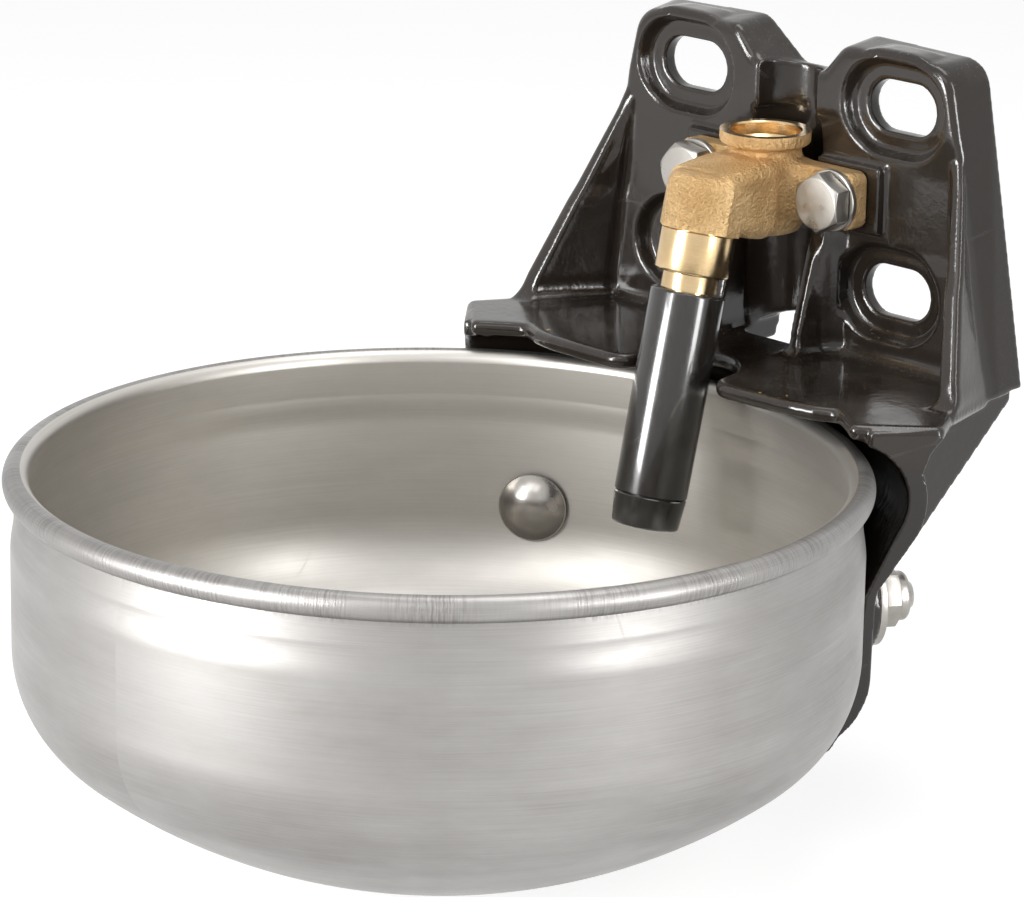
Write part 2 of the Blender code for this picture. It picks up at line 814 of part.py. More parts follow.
def build_nut_insert(side, material):
    top = lock_nut_face + lock_nut_height
    profile = ring_profile(screw_radius + hole_gap, insert_radius, top - insert_height, top - 0.0002)
    item = turned("lock_nut_insert_" + hand(side), profile, material)
    return place_radial(item, side)


def hand(side):
    return "left" if side < 0 else "right"


# Valve fasteners

pad_face = plate_front + pad_height
flange_back = pad_face + seat_gap
flange_front = flange_back + flange_thickness
valve_washer_face = flange_front + seat_gap
valve_head_face = valve_washer_face + small_washer_thickness + seat_gap
valve_nut_face = plate_front - plate_wall - seat_gap
valve_bolt_end = valve_nut_face - thin_nut_height - 0.0008


def build_valve_bolt(side, material):
    top = valve_head_face + hex_head_height
    turn = radians(valve_bolt_turn[side])
    rings = [circle_ring(nut_across_flats / 2.0 * nut_face_share, top, turn),
             hexagon_ring(nut_across_flats, top, 1, turn),
             hexagon_ring(nut_across_flats, valve_head_face, 0, turn),
             circle_ring(screw_radius, valve_head_face, turn),
             circle_ring(screw_radius, valve_bolt_end + 0.0008, turn),
             circle_ring(screw_radius - 0.0008, valve_bolt_end, turn)]
    item = loft("valve_bolt_" + hand(side), rings, material)
    smooth(item)
    return turned_to_front(item, side * valve_bolt_x)


def build_valve_washer(side, material):
    profile = ring_profile(screw_radius + hole_gap, small_washer_radius, valve_washer_face,
                           valve_washer_face + small_washer_thickness, 0.0004)
    return turned_to_front(turned("valve_washer_" + hand(side), profile, material), side * valve_bolt_x)


def build_valve_nut(side, material):
    low = valve_nut_face - thin_nut_height
    face = nut_across_flats / 2.0 * nut_face_share
    bore = screw_radius + hole_gap
    rings = [circle_ring(bore, low), circle_ring(face, low), hexagon_ring(nut_across_flats, low, -1),
             hexagon_ring(nut_across_flats, valve_nut_face, 1), circle_ring(face, valve_nut_face),
             circle_ring(bore, valve_nut_face)]
    item = loft("valve_nut_" + hand(side), rings, material, closed=True)
    smooth(item)
    return turned_to_front(item, side * valve_bolt_x)


# Valve body

def outlet_ring(height, inset):
    flat = outlet_flat
    reach = outlet_reach - inset
    flat = min(flat, reach)
    return [(flat, -reach, height), (reach, -flat, height), (reach, flat, height),
            (flat, reach, height), (-flat, reach, height), (-reach, flat, height),
            (-reach, -flat, height), (-flat, -reach, height)]


def arm_ring(y, low, top, half_width):
    shoulder = arm_shoulder
    return [(half_width, y, low + shoulder), (half_width, y, top - shoulder),
            (half_width * 0.42, y, top), (-half_width * 0.42, y, top), (-half_width, y, top - shoulder),
            (-half_width, y, low + shoulder), (-half_width * 0.55, y, low), (half_width * 0.55, y, low)]


def build_valve_body(material):
    ring_low = inlet_top_z - inlet_ring_height
    profile = [(0.0, inlet_top_z), (inlet_ring_radius - 0.0005, inlet_top_z),
               (inlet_ring_radius, inlet_top_z - 0.0005), (inlet_ring_radius, ring_low + 0.0005),
               (inlet_ring_radius - 0.0008, ring_low), (neck_radius, ring_low - 0.0016),
               (neck_radius, ring_low - 0.0028), (barrel_radius, ring_low - 0.0055),
               (barrel_radius, barrel_low_z + 0.004), (barrel_radius - 0.0015, barrel_low_z + 0.0012),
               (barrel_radius - 0.005, barrel_low_z), (0.0, barrel_low_z)]
    item = turned("valve_body", profile, material, fine_segments, closed=False)
    place(item, (0.0, inlet_y, 0.0))
    flange = prism("flange", [(-flange_half_width, -flange_half_height),
                              (flange_half_width, -flange_half_height),
                              (flange_half_width, flange_half_height),
                              (-flange_half_width, flange_half_height)], flange_back, flange_front)
    combine(item, turned_to_front(bevel(flange, 0.0014)), "UNION")
    arm = loft("arm", [arm_ring(inlet_y - 0.004, arm_low_z, arm_top_z, arm_half_width - 0.0008),
                       arm_ring(-0.044, arm_low_z + 0.0015, arm_top_z, arm_half_width),
                       arm_ring(-0.057, arm_low_z + 0.0070, arm_top_z, arm_half_width - 0.0008),
                       arm_ring(-0.0632, arm_low_z + 0.0095, arm_top_z - 0.0045, arm_half_width * 0.5)])
    bevel(arm, 0.0010, 1)
    relief = rod("ring relief", ring_radius + 2.0 * seat_gap, -0.01, ring_length + 2.0 * seat_gap)
    combine(arm, place_at_outlet(relief), "DIFFERENCE")
    combine(item, arm, "UNION")
    stub = loft("outlet stub", [outlet_ring(ring_length + seat_gap, 0.0),
                                outlet_ring(outlet_top - 0.0034, 0.0), outlet_ring(outlet_top, 0.0036)])
    combine(item, place_at_outlet(bevel(stub, 0.0009, 1)), "UNION")
    bore = rod("inlet bore", inlet_bore_radius, inlet_top_z - inlet_bore_depth, inlet_top_z + 0.002)
    combine(item, place(bore, (0.0, inlet_y, 0.0)), "DIFFERENCE")
    well = rod("inlet well", inlet_bore_radius - 0.0035, -0.004, 0.004)
    combine(item, place(well, (0.0, inlet_y, 0.0)), "DIFFERENCE")
    passage = rod("passage", passage_radius, -inlet_y, -outlet_y - 0.004, 16)
    combine(item, place(passage, (0.0, 0.0, 0.0007), facing_front), "DIFFERENCE")
    chamber = rod("chamber", spigot_radius + seat_gap, ring_length - 0.002, chamber_top, fine_segments)
    combine(item, place_at_outlet(chamber), "DIFFERENCE")
    for side in (-1, 1):
        hole = rod("flange hole", screw_radius + bolt_hole_gap, flange_back - 0.003, flange_front + 0.003)
        combine(item, turned_to_front(hole, side * valve_bolt_x), "DIFFERENCE")
    return smooth(item, 20.0)


def build_outlet_ring(material):
    seat = ball_radius + ball_slip
    cup = []
    for step in range(4):
        height = ring_lip + (ball_centre - ring_lip) * step / 3.0
        cup.append((sqrt(seat ** 2 - (ball_centre - height) ** 2), height))
    profile = [(seat_bore_radius, spigot_top), (spigot_radius - 0.0006, spigot_top),
               (spigot_radius, spigot_top - 0.0006), (spigot_radius, ring_length),
               (ring_radius - 0.0004, ring_length), (ring_radius, ring_length - 0.0004),
               (ring_radius, 0.0006), (ring_radius - 0.0006, 0.0), (ring_hole_radius, 0.0)]
    profile += [(max(radius, ring_hole_radius), height) for radius, height in cup]
    profile += [(seat, ring_length - 0.0015), (foot_radius + 0.0007, ring_length - 0.0013),
                (foot_radius + 0.0007, web_low), (seat_bore_radius, web_low)]
    item = turned("outlet_ring", profile, material, fine_segments)
    return place_at_outlet(item)


# Moving pieces

def build_tube_collar(material, parent):
    low = tube_top - tube_socket_length
    profile = [(tube_bore_radius, ball_top)]
    for step in range(7):
        height = ball_top + (0.0011 - ball_top) * step / 6.0
        profile.append((sqrt(ball_radius ** 2 - (height - ball_centre) ** 2), height))
    profile += [(collar_radius, 0.0006), (collar_radius, tube_top + seat_gap),
                (sleeve_bore_radius - hole_gap, tube_top + seat_gap),
                (sleeve_bore_radius - hole_gap, low), (tube_bore_radius, low)]
    item = turned("tube_collar", profile, material, fine_segments)
    return pivoted(item, parent)


def build_push_tube(material, parent):
    seam = tube_top - tube_length + tip_length
    pocket = tip_spigot_radius + hole_gap
    profile = [(sleeve_bore_radius, tube_top), (tube_radius - 0.0012, tube_top),
               (tube_radius, tube_top - 0.0010), (tube_radius, tube_top - 0.030),
               (tube_seam_radius, seam), (pocket, seam),
               (pocket, seam + tip_spigot_length + seat_gap),
               (sleeve_bore_radius, seam + tip_spigot_length + seat_gap)]
    item = turned("push_tube", profile, material, fine_segments)
    return pivoted(item, parent)


def build_tube_tip(material, parent):
    seam = tube_top - tube_length + tip_length - seat_gap
    end = tube_top - tube_length
    profile = [(sleeve_bore_radius, seam + tip_spigot_length), (tip_spigot_radius, seam + tip_spigot_length),
               (tip_spigot_radius, seam), (tube_seam_radius, seam), (tube_seam_radius - 0.0002, seam - 0.002),
               (tube_tip_radius, end + 0.001), (tube_tip_radius - 0.0010, end), (sleeve_bore_radius, end)]
    item = turned("tube_tip", profile, material, fine_segments)
    return pivoted(item, parent)


def build_slip_ring(material, parent):
    # Thin ring that the ball's top rim turns under.
    low = ring_length - 0.0015 - slip_ring_height
    seat = ball_radius + ball_slip
    profile = ring_profile(seat - 0.0009, seat - hole_gap, low - seat_gap, low - seat_gap + slip_ring_height)
    item = turned("slip_ring", profile, material, fine_segments)
    return pivoted(item, parent)


def pivoted(item, parent):
    # Turned pieces are drawn from the ring's lower face, and hang from the ball's centre.
    item.data.transform(Matrix.Translation((0.0, 0.0, -ball_centre)))
    item.parent = parent
    return item


def lifted(item, parent):
    item.parent = parent
    return item


tip_spigot_radius = sleeve_bore_radius + 0.0017
foot_low = ball_top + seat_gap
seal_low = spigot_top + seat_gap
disc_low = seal_low + valve_seal_thickness + seat_gap
stem_nut_low = disc_low + disc_thickness + seat_gap


def build_valve_stem(material, parent):
    top = stem_nut_low + stem_nut_height + stem_end
    profile = [(0.0, top), (stem_radius - 0.0003, top), (stem_radius, top - 0.0003),
               (stem_radius, foot_low + foot_thickness), (foot_radius, foot_low + foot_thickness),
               (foot_radius, foot_low), (0.0, foot_low)]
    item = turned("valve_stem", profile, material, round_segments, closed=False)
    for index in range(3):
        angle = radians(120.0 * index)
        hole = rod("foot hole", foot_hole_radius, foot_low - 0.001, foot_low + foot_thickness + 0.001, 10)
        spot = (foot_hole_circle * cos(angle), foot_hole_circle * sin(angle), 0.0)
        hole.data.transform(Matrix.Translation(spot))
        combine(item, place_at_outlet(hole), "DIFFERENCE")
    return lifted(item, parent)


def build_valve_seal(material, parent):
    profile = ring_profile(stem_radius + hole_gap, valve_seal_radius, seal_low,
                           seal_low + valve_seal_thickness)
    return lifted(turned("valve_seal", profile, material), parent)


def build_valve_disc(material, parent):
    profile = ring_profile(stem_radius + hole_gap, disc_radius, disc_low, disc_low + disc_thickness, 0.0004)
    return lifted(turned("valve_disc", profile, material), parent)


def build_stem_nut(material, parent):
    top = stem_nut_low + stem_nut_height
    face = stem_nut_across_flats / 2.0 * nut_face_share
    bore = stem_radius + hole_gap
    rings = [circle_ring(bore, stem_nut_low), hexagon_ring(stem_nut_across_flats, stem_nut_low),
             hexagon_ring(stem_nut_across_flats, top, 1), circle_ring(face, top), circle_ring(bore, top)]
    item = loft("stem_nut", rings, material, closed=True)
    smooth(item)
    return lifted(item, parent)


def build_valve_spring(material):
    low = disc_low + disc_thickness + seat_gap + spring_wire_radius
    high = chamber_top - seat_gap - spring_wire_radius
    per_turn = 12
    count = int(spring_turns * per_turn)
    rings = []
    for index in range(count + 1):
        turn = 2.0 * pi * index / per_turn
        height = low + (high - low) * index / count
        section = arc((spring_radius, height), spring_wire_radius, 0.0, 300.0, 5)
        rings.append([(radius * cos(turn), radius * sin(turn), z) for radius, z in section])
    return place_at_outlet(loft("valve_spring", rings, material))


def build_all():
    stainless = make_material("Brushed stainless steel", (0.58, 0.56, 0.53), 1.0, 0.34)
    bolt_steel = make_material("Stainless fasteners", (0.60, 0.58, 0.55), 1.0, 0.30)
    enamel = make_material("Black enamelled cast iron", (0.035, 0.032, 0.029), 0.0, 0.18)
    cast_brass = make_material("Cast brass", (0.71, 0.50, 0.26), 1.0, 0.48)
    turned_brass = make_material("Turned brass", (0.83, 0.62, 0.33), 1.0, 0.18)
    black_plastic = make_material("Black plastic", (0.018, 0.018, 0.018), 0.0, 0.22)
    rubber = make_material("Black rubber", (0.03, 0.03, 0.03), 0.0, 0.75)
    nylon = make_material("White nylon", (0.78, 0.78, 0.74), 0.0, 0.5)
    spring_steel = make_material("Spring steel", (0.55, 0.55, 0.54), 1.0, 0.35)

    build_bowl(stainless)
    build_bracket(enamel)
    for side in (-1, 1):
        build_carriage_bolt(side, bolt_steel)
        build_head_seal(side, rubber)
        build_bowl_washer(side, bolt_steel)
        build_lock_nut(side, bolt_steel)
        build_nut_insert(side, nylon)
        build_valve_bolt(side, bolt_steel)
        build_valve_washer(side, bolt_steel)
        build_valve_nut(side, bolt_steel)
    build_valve_body(cast_brass)
    build_outlet_ring(turned_brass)

    pivot_offset = Vector((0.0, sin(radians(outlet_slope)), cos(radians(outlet_slope)))) * ball_centre
    pivot = make_object("Ball pivot", None, None, parts)
    place(pivot, Vector((0.0, outlet_y, outlet_z)) + pivot_offset, outlet_turn)
    build_slip_ring(turned_brass, pivot)
    build_tube_collar(turned_brass, pivot)
    build_push_tube(black_plastic, pivot)
    build_tube_tip(black_plastic, pivot)

    lift = make_object("Valve lift axis", None, None, parts)
    place_at_outlet(lift)
    build_valve_stem(turned_brass, lift)
    build_valve_seal(rubber, lift)
    build_valve_disc(turned_brass, lift)
    build_stem_nut(turned_brass, lift)
    build_valve_spring(spring_steel)


clear_scene()
parts = make_collection("Automatic livestock drinker")
helpers = make_collection("Cutters")
build_all()
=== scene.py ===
from math import asin, cos, pi, radians, sin, sqrt, tan

import bmesh
import bpy
from mathutils import Matrix, Vector


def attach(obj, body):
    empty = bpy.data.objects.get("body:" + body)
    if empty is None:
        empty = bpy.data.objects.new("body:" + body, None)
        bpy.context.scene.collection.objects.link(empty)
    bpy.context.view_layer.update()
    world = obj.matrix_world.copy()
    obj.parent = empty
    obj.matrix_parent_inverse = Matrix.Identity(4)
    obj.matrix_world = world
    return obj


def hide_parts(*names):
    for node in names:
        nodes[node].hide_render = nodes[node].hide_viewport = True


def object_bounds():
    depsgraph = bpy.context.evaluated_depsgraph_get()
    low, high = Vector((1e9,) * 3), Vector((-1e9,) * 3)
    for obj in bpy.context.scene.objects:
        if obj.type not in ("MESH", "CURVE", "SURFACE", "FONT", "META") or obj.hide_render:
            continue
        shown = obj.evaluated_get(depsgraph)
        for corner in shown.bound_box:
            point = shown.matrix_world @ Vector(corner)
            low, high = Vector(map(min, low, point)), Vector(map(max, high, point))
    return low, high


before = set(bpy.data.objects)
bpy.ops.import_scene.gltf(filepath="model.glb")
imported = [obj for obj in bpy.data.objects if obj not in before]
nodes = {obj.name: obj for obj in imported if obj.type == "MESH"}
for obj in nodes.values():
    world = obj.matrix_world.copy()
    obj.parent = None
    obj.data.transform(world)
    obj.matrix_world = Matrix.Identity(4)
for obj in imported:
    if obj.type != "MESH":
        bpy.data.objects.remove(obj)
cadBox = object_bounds()
print("Frame loaded with", len(nodes), "nodes")


# Camera, at the photograph's angle

camera = {"lens": 165.05, "sensor": 36.0, "near": 0.05, "far": 30.0, "place": (0.9636, -1.1312, 0.3502),
          "turn": 44.184, "down": 16.729, "roll": 0.989}

cameraData = bpy.data.cameras.new("Camera")
cameraData.lens = camera["lens"]
cameraData.sensor_width = camera["sensor"]
cameraData.clip_start = camera["near"]
cameraData.clip_end = camera["far"]
cameraObject = bpy.data.objects.new("Camera", cameraData)
cameraObject.matrix_world = (Matrix.Translation(camera["place"])
                             @ Matrix.Rotation(radians(camera["turn"]), 4, "Z")
                             @ Matrix.Rotation(radians(90.0 - camera["down"]), 4, "X")
                             @ Matrix.Rotation(radians(camera["roll"]), 4, "Z"))
bpy.context.scene.collection.objects.link(cameraObject)
bpy.context.scene.camera = cameraObject
bpy.context.scene.view_settings.view_transform = "Standard"


# Node helpers

def addNode(tree, kind, values=None, **settings):
    node = tree.nodes.new(kind)
    for name, value in settings.items():
        setattr(node, name, value)
    for name, value in (values or {}).items():
        node.inputs[name].default_value = value
    return node


def wire(tree, source, target):
    tree.links.new(source, target)


def feed(tree, node, index, value):
    # Puts a number or a colour on a socket, or wires an output to it.
    if isinstance(value, (int, float)):
        node.inputs[index].default_value = value
    elif isinstance(value, tuple):
        node.inputs[index].default_value = (*value, 1.0)
    else:
        wire(tree, value, node.inputs[index])


def mathNode(tree, operation, first, second, clamp=False):
    node = addNode(tree, "ShaderNodeMath", operation=operation, use_clamp=clamp)
    feed(tree, node, 0, first)
    feed(tree, node, 1, second)
    return node.outputs[0]


def vectorNode(tree, operation, first, second):
    node = addNode(tree, "ShaderNodeVectorMath", operation=operation)
    wire(tree, first, node.inputs[0])
    wire(tree, second, node.inputs["Scale" if operation == "SCALE" else 1])
    return node.outputs["Value" if operation in ("DOT_PRODUCT", "DISTANCE") else "Vector"]


def rangeNode(tree, value, fromLow, fromHigh, toLow, toHigh, smooth=False):
    node = addNode(tree, "ShaderNodeMapRange", {"From Min": fromLow, "From Max": fromHigh,
                                                "To Min": toLow, "To Max": toHigh})
    if smooth:
        node.interpolation_type = "SMOOTHSTEP"
    wire(tree, value, node.inputs["Value"])
    return node.outputs["Result"]


def mixColour(tree, factor, first, second):
    node = addNode(tree, "ShaderNodeMix", data_type="RGBA")
    feed(tree, node, 0, factor)
    feed(tree, node, 6, first)
    feed(tree, node, 7, second)
    return node.outputs[2]


def noiseNode(tree, place, scale, detail=3.0, roughness=0.5):
    node = addNode(tree, "ShaderNodeTexNoise", {"Scale": scale, "Detail": detail, "Roughness": roughness})
    wire(tree, place, node.inputs["Vector"])
    return node.outputs["Fac"]


def objectPlace(tree):
    return addNode(tree, "ShaderNodeTexCoord").outputs["Object"]


number = "NodeSocketFloat"
direction = "NodeSocketVector"


def newGroup(name, inputs, outputs):
    # Inputs come as (label, kind, value). Every output is a number.
    tree = bpy.data.node_groups.new(name, "ShaderNodeTree")
    for label, kind, value in inputs:
        socket = tree.interface.new_socket(name=label, in_out="INPUT", socket_type=kind)
        socket.default_value = value
    for label in outputs:
        tree.interface.new_socket(name=label, in_out="OUTPUT", socket_type=number)
    entry = tree.nodes.new("NodeGroupInput")
    leave = tree.nodes.new("NodeGroupOutput")
    return tree, entry.outputs, leave.inputs


def useGroup(tree, group, values):
    node = tree.nodes.new("ShaderNodeGroup")
    node.node_tree = group
    for name, value in values.items():
        node.inputs[name].default_value = value
    return node.outputs


# Shared effects. Noise scales are in features per metre.

grainLook = {"grain": 1500.0, "lumps": 700.0, "swell": 85.0, "patches": 60.0}


def makeCastGrain():
    # Sand-cast skin: fine grains over a slow swell, and soft patches of tone.
    tree, entry, leave = newGroup("Cast grain", [("Scale", number, 1.0), ("Swell", number, 0.5)],
                                  ["Height", "Patches"])
    place = objectPlace(tree)
    scaled = vectorNode(tree, "SCALE", place, entry["Scale"])
    grain = noiseNode(tree, scaled, grainLook["grain"], 3.0, 0.65)
    lumps = addNode(tree, "ShaderNodeTexVoronoi", {"Scale": grainLook["lumps"], "Randomness": 1.0},
                    feature="SMOOTH_F1")
    wire(tree, scaled, lumps.inputs["Vector"])
    swell = noiseNode(tree, place, grainLook["swell"], 2.0, 0.5)
    fine = mathNode(tree, "ADD", mathNode(tree, "MULTIPLY", grain, 0.6),
                    mathNode(tree, "MULTIPLY", lumps.outputs["Distance"], 0.5))
    slow = mathNode(tree, "MULTIPLY", swell, entry["Swell"])
    wire(tree, mathNode(tree, "ADD", fine, slow), leave["Height"])
    patches = noiseNode(tree, place, grainLook["patches"], 4.0, 0.6)
    wire(tree, rangeNode(tree, patches, 0.3, 0.7, 0.0, 1.0, True), leave["Patches"])
    return tree


def makeEdgeWear():
    # Rubbed edges from the mesh's own curvature, broken up by noise, and the hollows beside them.
    tree, entry, leave = newGroup("Edge wear", [("Start", number, 0.53), ("End", number, 0.6),
                                                ("Breakup", number, 220.0)], ["Mask", "Hollow"])
    bend = addNode(tree, "ShaderNodeNewGeometry").outputs["Pointiness"]
    breakup = addNode(tree, "ShaderNodeTexNoise", {"Detail": 4.0, "Roughness": 0.6})
    wire(tree, objectPlace(tree), breakup.inputs["Vector"])
    wire(tree, entry["Breakup"], breakup.inputs["Scale"])
    edge = addNode(tree, "ShaderNodeMapRange")
    wire(tree, bend, edge.inputs["Value"])
    wire(tree, entry["Start"], edge.inputs["From Min"])
    wire(tree, entry["End"], edge.inputs["From Max"])
    broken = rangeNode(tree, breakup.outputs["Fac"], 0.38, 0.62, 0.15, 1.0)
    wire(tree, mathNode(tree, "MULTIPLY", edge.outputs["Result"], broken, True), leave["Mask"])
    wire(tree, rangeNode(tree, bend, 0.49, 0.43, 0.0, 1.0), leave["Hollow"])
    return tree


def makeTurnedLines():
    # Tool lines of a turned piece: rings along its axis and rings across its faces.
    tree, entry, leave = newGroup("Turned lines", [("Centre", direction, (0.0, 0.0, 0.0)),
                                                   ("Axis", direction, (0.0, 0.0, 1.0)),
                                                   ("Fineness", number, 3000.0)], ["Along", "Across", "Broad"])
    place = objectPlace(tree)
    offset = vectorNode(tree, "SUBTRACT", place, entry["Centre"])
    height = vectorNode(tree, "DOT_PRODUCT", offset, entry["Axis"])
    radius = addNode(tree, "ShaderNodeVectorMath", operation="LENGTH")
    wire(tree, vectorNode(tree, "CROSS_PRODUCT", offset, entry["Axis"]), radius.inputs[0])
    for source, label in ((height, "Along"), (radius.outputs["Value"], "Across")):
        lines = addNode(tree, "ShaderNodeTexNoise", {"Detail": 3.0, "Roughness": 0.7}, noise_dimensions="1D")
        wire(tree, source, lines.inputs["W"])
        wire(tree, entry["Fineness"], lines.inputs["Scale"])
        wire(tree, lines.outputs["Fac"], leave[label])
    wire(tree, noiseNode(tree, place, 90.0, 3.0, 0.6), leave["Broad"])
    return tree


# Scale around and in height, detail, roughness and a lift that keeps the patterns apart.
sheetLook = {"lines": (16.0, 2600.0, 3.0, 0.7, 0.0), "cloud": (13.0, 40.0, 5.0, 0.62, 3.0),
             "drag": (240.0, 22.0, 3.0, 0.6, 7.0), "gate": (30.0, 10.0, 2.0, 0.5, 17.0),
             "marks": (1500.0, 90.0, 3.0, 0.6, 11.0), "rimLow": -0.0062, "rimHigh": -0.0042}


def makeSpunSheet():
    # Brushed sheet round an upright axis: long level lines, rim chatter and cloudy patches.
    tree, entry, leave = newGroup("Spun sheet", [("Centre", direction, (0.0, 0.0, 0.0)), ("Radius", number, 0.13)],
                                  ["Lines", "Cloud", "Drag", "Chatter", "Rim"])
    split = addNode(tree, "ShaderNodeSeparateXYZ")
    wire(tree, vectorNode(tree, "SUBTRACT", objectPlace(tree), entry["Centre"]), split.inputs[0])
    turn = mathNode(tree, "ARCTAN2", split.outputs["X"], split.outputs["Y"])
    around = mathNode(tree, "MULTIPLY", turn, entry["Radius"])

    def stretched(name):
        aroundScale, heightScale, detail, roughness, lift = sheetLook[name]
        joined = addNode(tree, "ShaderNodeCombineXYZ", {"Z": lift})
        wire(tree, mathNode(tree, "MULTIPLY", around, aroundScale), joined.inputs["X"])
        wire(tree, mathNode(tree, "MULTIPLY", split.outputs["Z"], heightScale), joined.inputs["Y"])
        return noiseNode(tree, joined.outputs[0], 1.0, detail, roughness)

    wire(tree, stretched("lines"), leave["Lines"])
    wire(tree, stretched("cloud"), leave["Cloud"])
    wire(tree, stretched("drag"), leave["Drag"])
    gate = rangeNode(tree, stretched("gate"), 0.40, 0.62, 0.1, 1.0)
    marks = rangeNode(tree, stretched("marks"), 0.42, 0.62, 0.0, 1.0)
    wire(tree, mathNode(tree, "MULTIPLY", marks, gate, True), leave["Chatter"])
    rim = rangeNode(tree, split.outputs["Z"], sheetLook["rimLow"], sheetLook["rimHigh"], 0.0, 1.0)
    wire(tree, rim, leave["Rim"])
    return tree


def makeScratches():
    # Thin stray lines from stretched cell borders, in a few places only.
    tree, entry, leave = newGroup("Scratches", [("Scale", number, 40.0), ("Width", number, 0.02)], ["Mask"])
    place = objectPlace(tree)
    turned = addNode(tree, "ShaderNodeMapping", {"Rotation": (0.5, 0.3, 0.8), "Scale": (1.0, 0.22, 0.6)})
    wire(tree, place, turned.inputs["Vector"])
    cells = addNode(tree, "ShaderNodeTexVoronoi", feature="DISTANCE_TO_EDGE")
    wire(tree, turned.outputs[0], cells.inputs["Vector"])
    wire(tree, entry["Scale"], cells.inputs["Scale"])
    line = mathNode(tree, "LESS_THAN", cells.outputs["Distance"], entry["Width"])
    gate = rangeNode(tree, noiseNode(tree, place, 55.0, 2.0), 0.56, 0.64, 0.0, 1.0)
    wire(tree, mathNode(tree, "MULTIPLY", line, gate, True), leave["Mask"])
    return tree


def makeSettledDust():
    # Specks and a thin veil on faces turned upwards.
    tree, entry, leave = newGroup("Settled dust", [("Amount", number, 0.3)], ["Mask"])
    place = objectPlace(tree)
    facing = addNode(tree, "ShaderNodeSeparateXYZ")
    wire(tree, addNode(tree, "ShaderNodeNewGeometry").outputs["Normal"], facing.inputs[0])
    upward = rangeNode(tree, facing.outputs["Z"], 0.25, 0.95, 0.0, 1.0)
    specks = rangeNode(tree, noiseNode(tree, place, 900.0, 2.0, 0.7), 0.62, 0.72, 0.0, 1.0)
    veil = rangeNode(tree, noiseNode(tree, place, 45.0, 4.0, 0.6), 0.4, 0.75, 0.0, 0.5)
    both = mathNode(tree, "ADD", specks, veil, True)
    settled = mathNode(tree, "MULTIPLY", upward, both)
    wire(tree, mathNode(tree, "MULTIPLY", settled, entry["Amount"], True), leave["Mask"])
    return tree


def makeEnamelChip():
    # One flaked spot in the enamel, with a ragged edge.
    tree, entry, leave = newGroup("Enamel chip", [("Centre", direction, (0.0, 0.0, 0.0)),
                                                  ("Radius", number, 0.001)], ["Mask"])
    place = objectPlace(tree)
    share = mathNode(tree, "DIVIDE", vectorNode(tree, "DISTANCE", place, entry["Centre"]), entry["Radius"])
    edge = rangeNode(tree, noiseNode(tree, place, 1400.0, 3.0, 0.7), 0.3, 0.7, -0.6, 0.6)
    wire(tree, rangeNode(tree, mathNode(tree, "ADD", share, edge), 0.85, 0.7, 0.0, 1.0), leave["Mask"])
    return tree


castGrain = makeCastGrain()
edgeWear = makeEdgeWear()
turnedLines = makeTurnedLines()
spunSheet = makeSpunSheet()
scratches = makeScratches()
settledDust = makeSettledDust()
enamelChip = makeEnamelChip()
print("Shared effects made")


# Materials

def newMaterial(name, metallic, roughness, ior=1.5, coat=0.0, coatRoughness=None):
    material = bpy.data.materials.new(name)
    material.use_nodes = True
    tree = material.node_tree
    shader = tree.nodes["Principled BSDF"]
    shader.inputs["Metallic"].default_value = metallic
    shader.inputs["Roughness"].default_value = roughness
    shader.inputs["IOR"].default_value = ior
    shader.inputs["Coat Weight"].default_value = coat
    if coatRoughness is not None:
        shader.inputs["Coat Roughness"].default_value = coatRoughness
    return material, tree, shader


def addBump(tree, shader, height, strength, distance, before=None):
    bump = addNode(tree, "ShaderNodeBump", {"Strength": strength, "Distance": distance})
    wire(tree, height, bump.inputs["Height"])
    if before is not None:
        wire(tree, before, bump.inputs["Normal"])
    wire(tree, bump.outputs[0], shader.inputs["Normal"])
    return bump.outputs[0]


bowlSteel = {
    "centre": (0.0, -0.171, -0.067), "rimMark": (0.11, 0.105, 0.10), "scratchRough": 0.05,
    # Strength and depth of the bumps.
    "lines": (0.6, 0.00002), "drag": (0.2, 0.00002), "chatterDeep": 0.00008,
    # The outside copy's colours are darker than the inside's. This is painted shade for the darker surroundings that
    # the outside of the sheet reflects.
    "outside": {"light": (0.41, 0.40, 0.39), "dark": (0.27, 0.26, 0.25), "line": (0.18, 0.17, 0.16),
                "smooth": 0.36, "rough": 0.49, "chatter": 0.6},
    "inside": {"light": (0.60, 0.58, 0.545), "dark": (0.47, 0.45, 0.42), "line": (0.34, 0.325, 0.30),
               "smooth": 0.36, "rough": 0.48, "chatter": 0.0}}


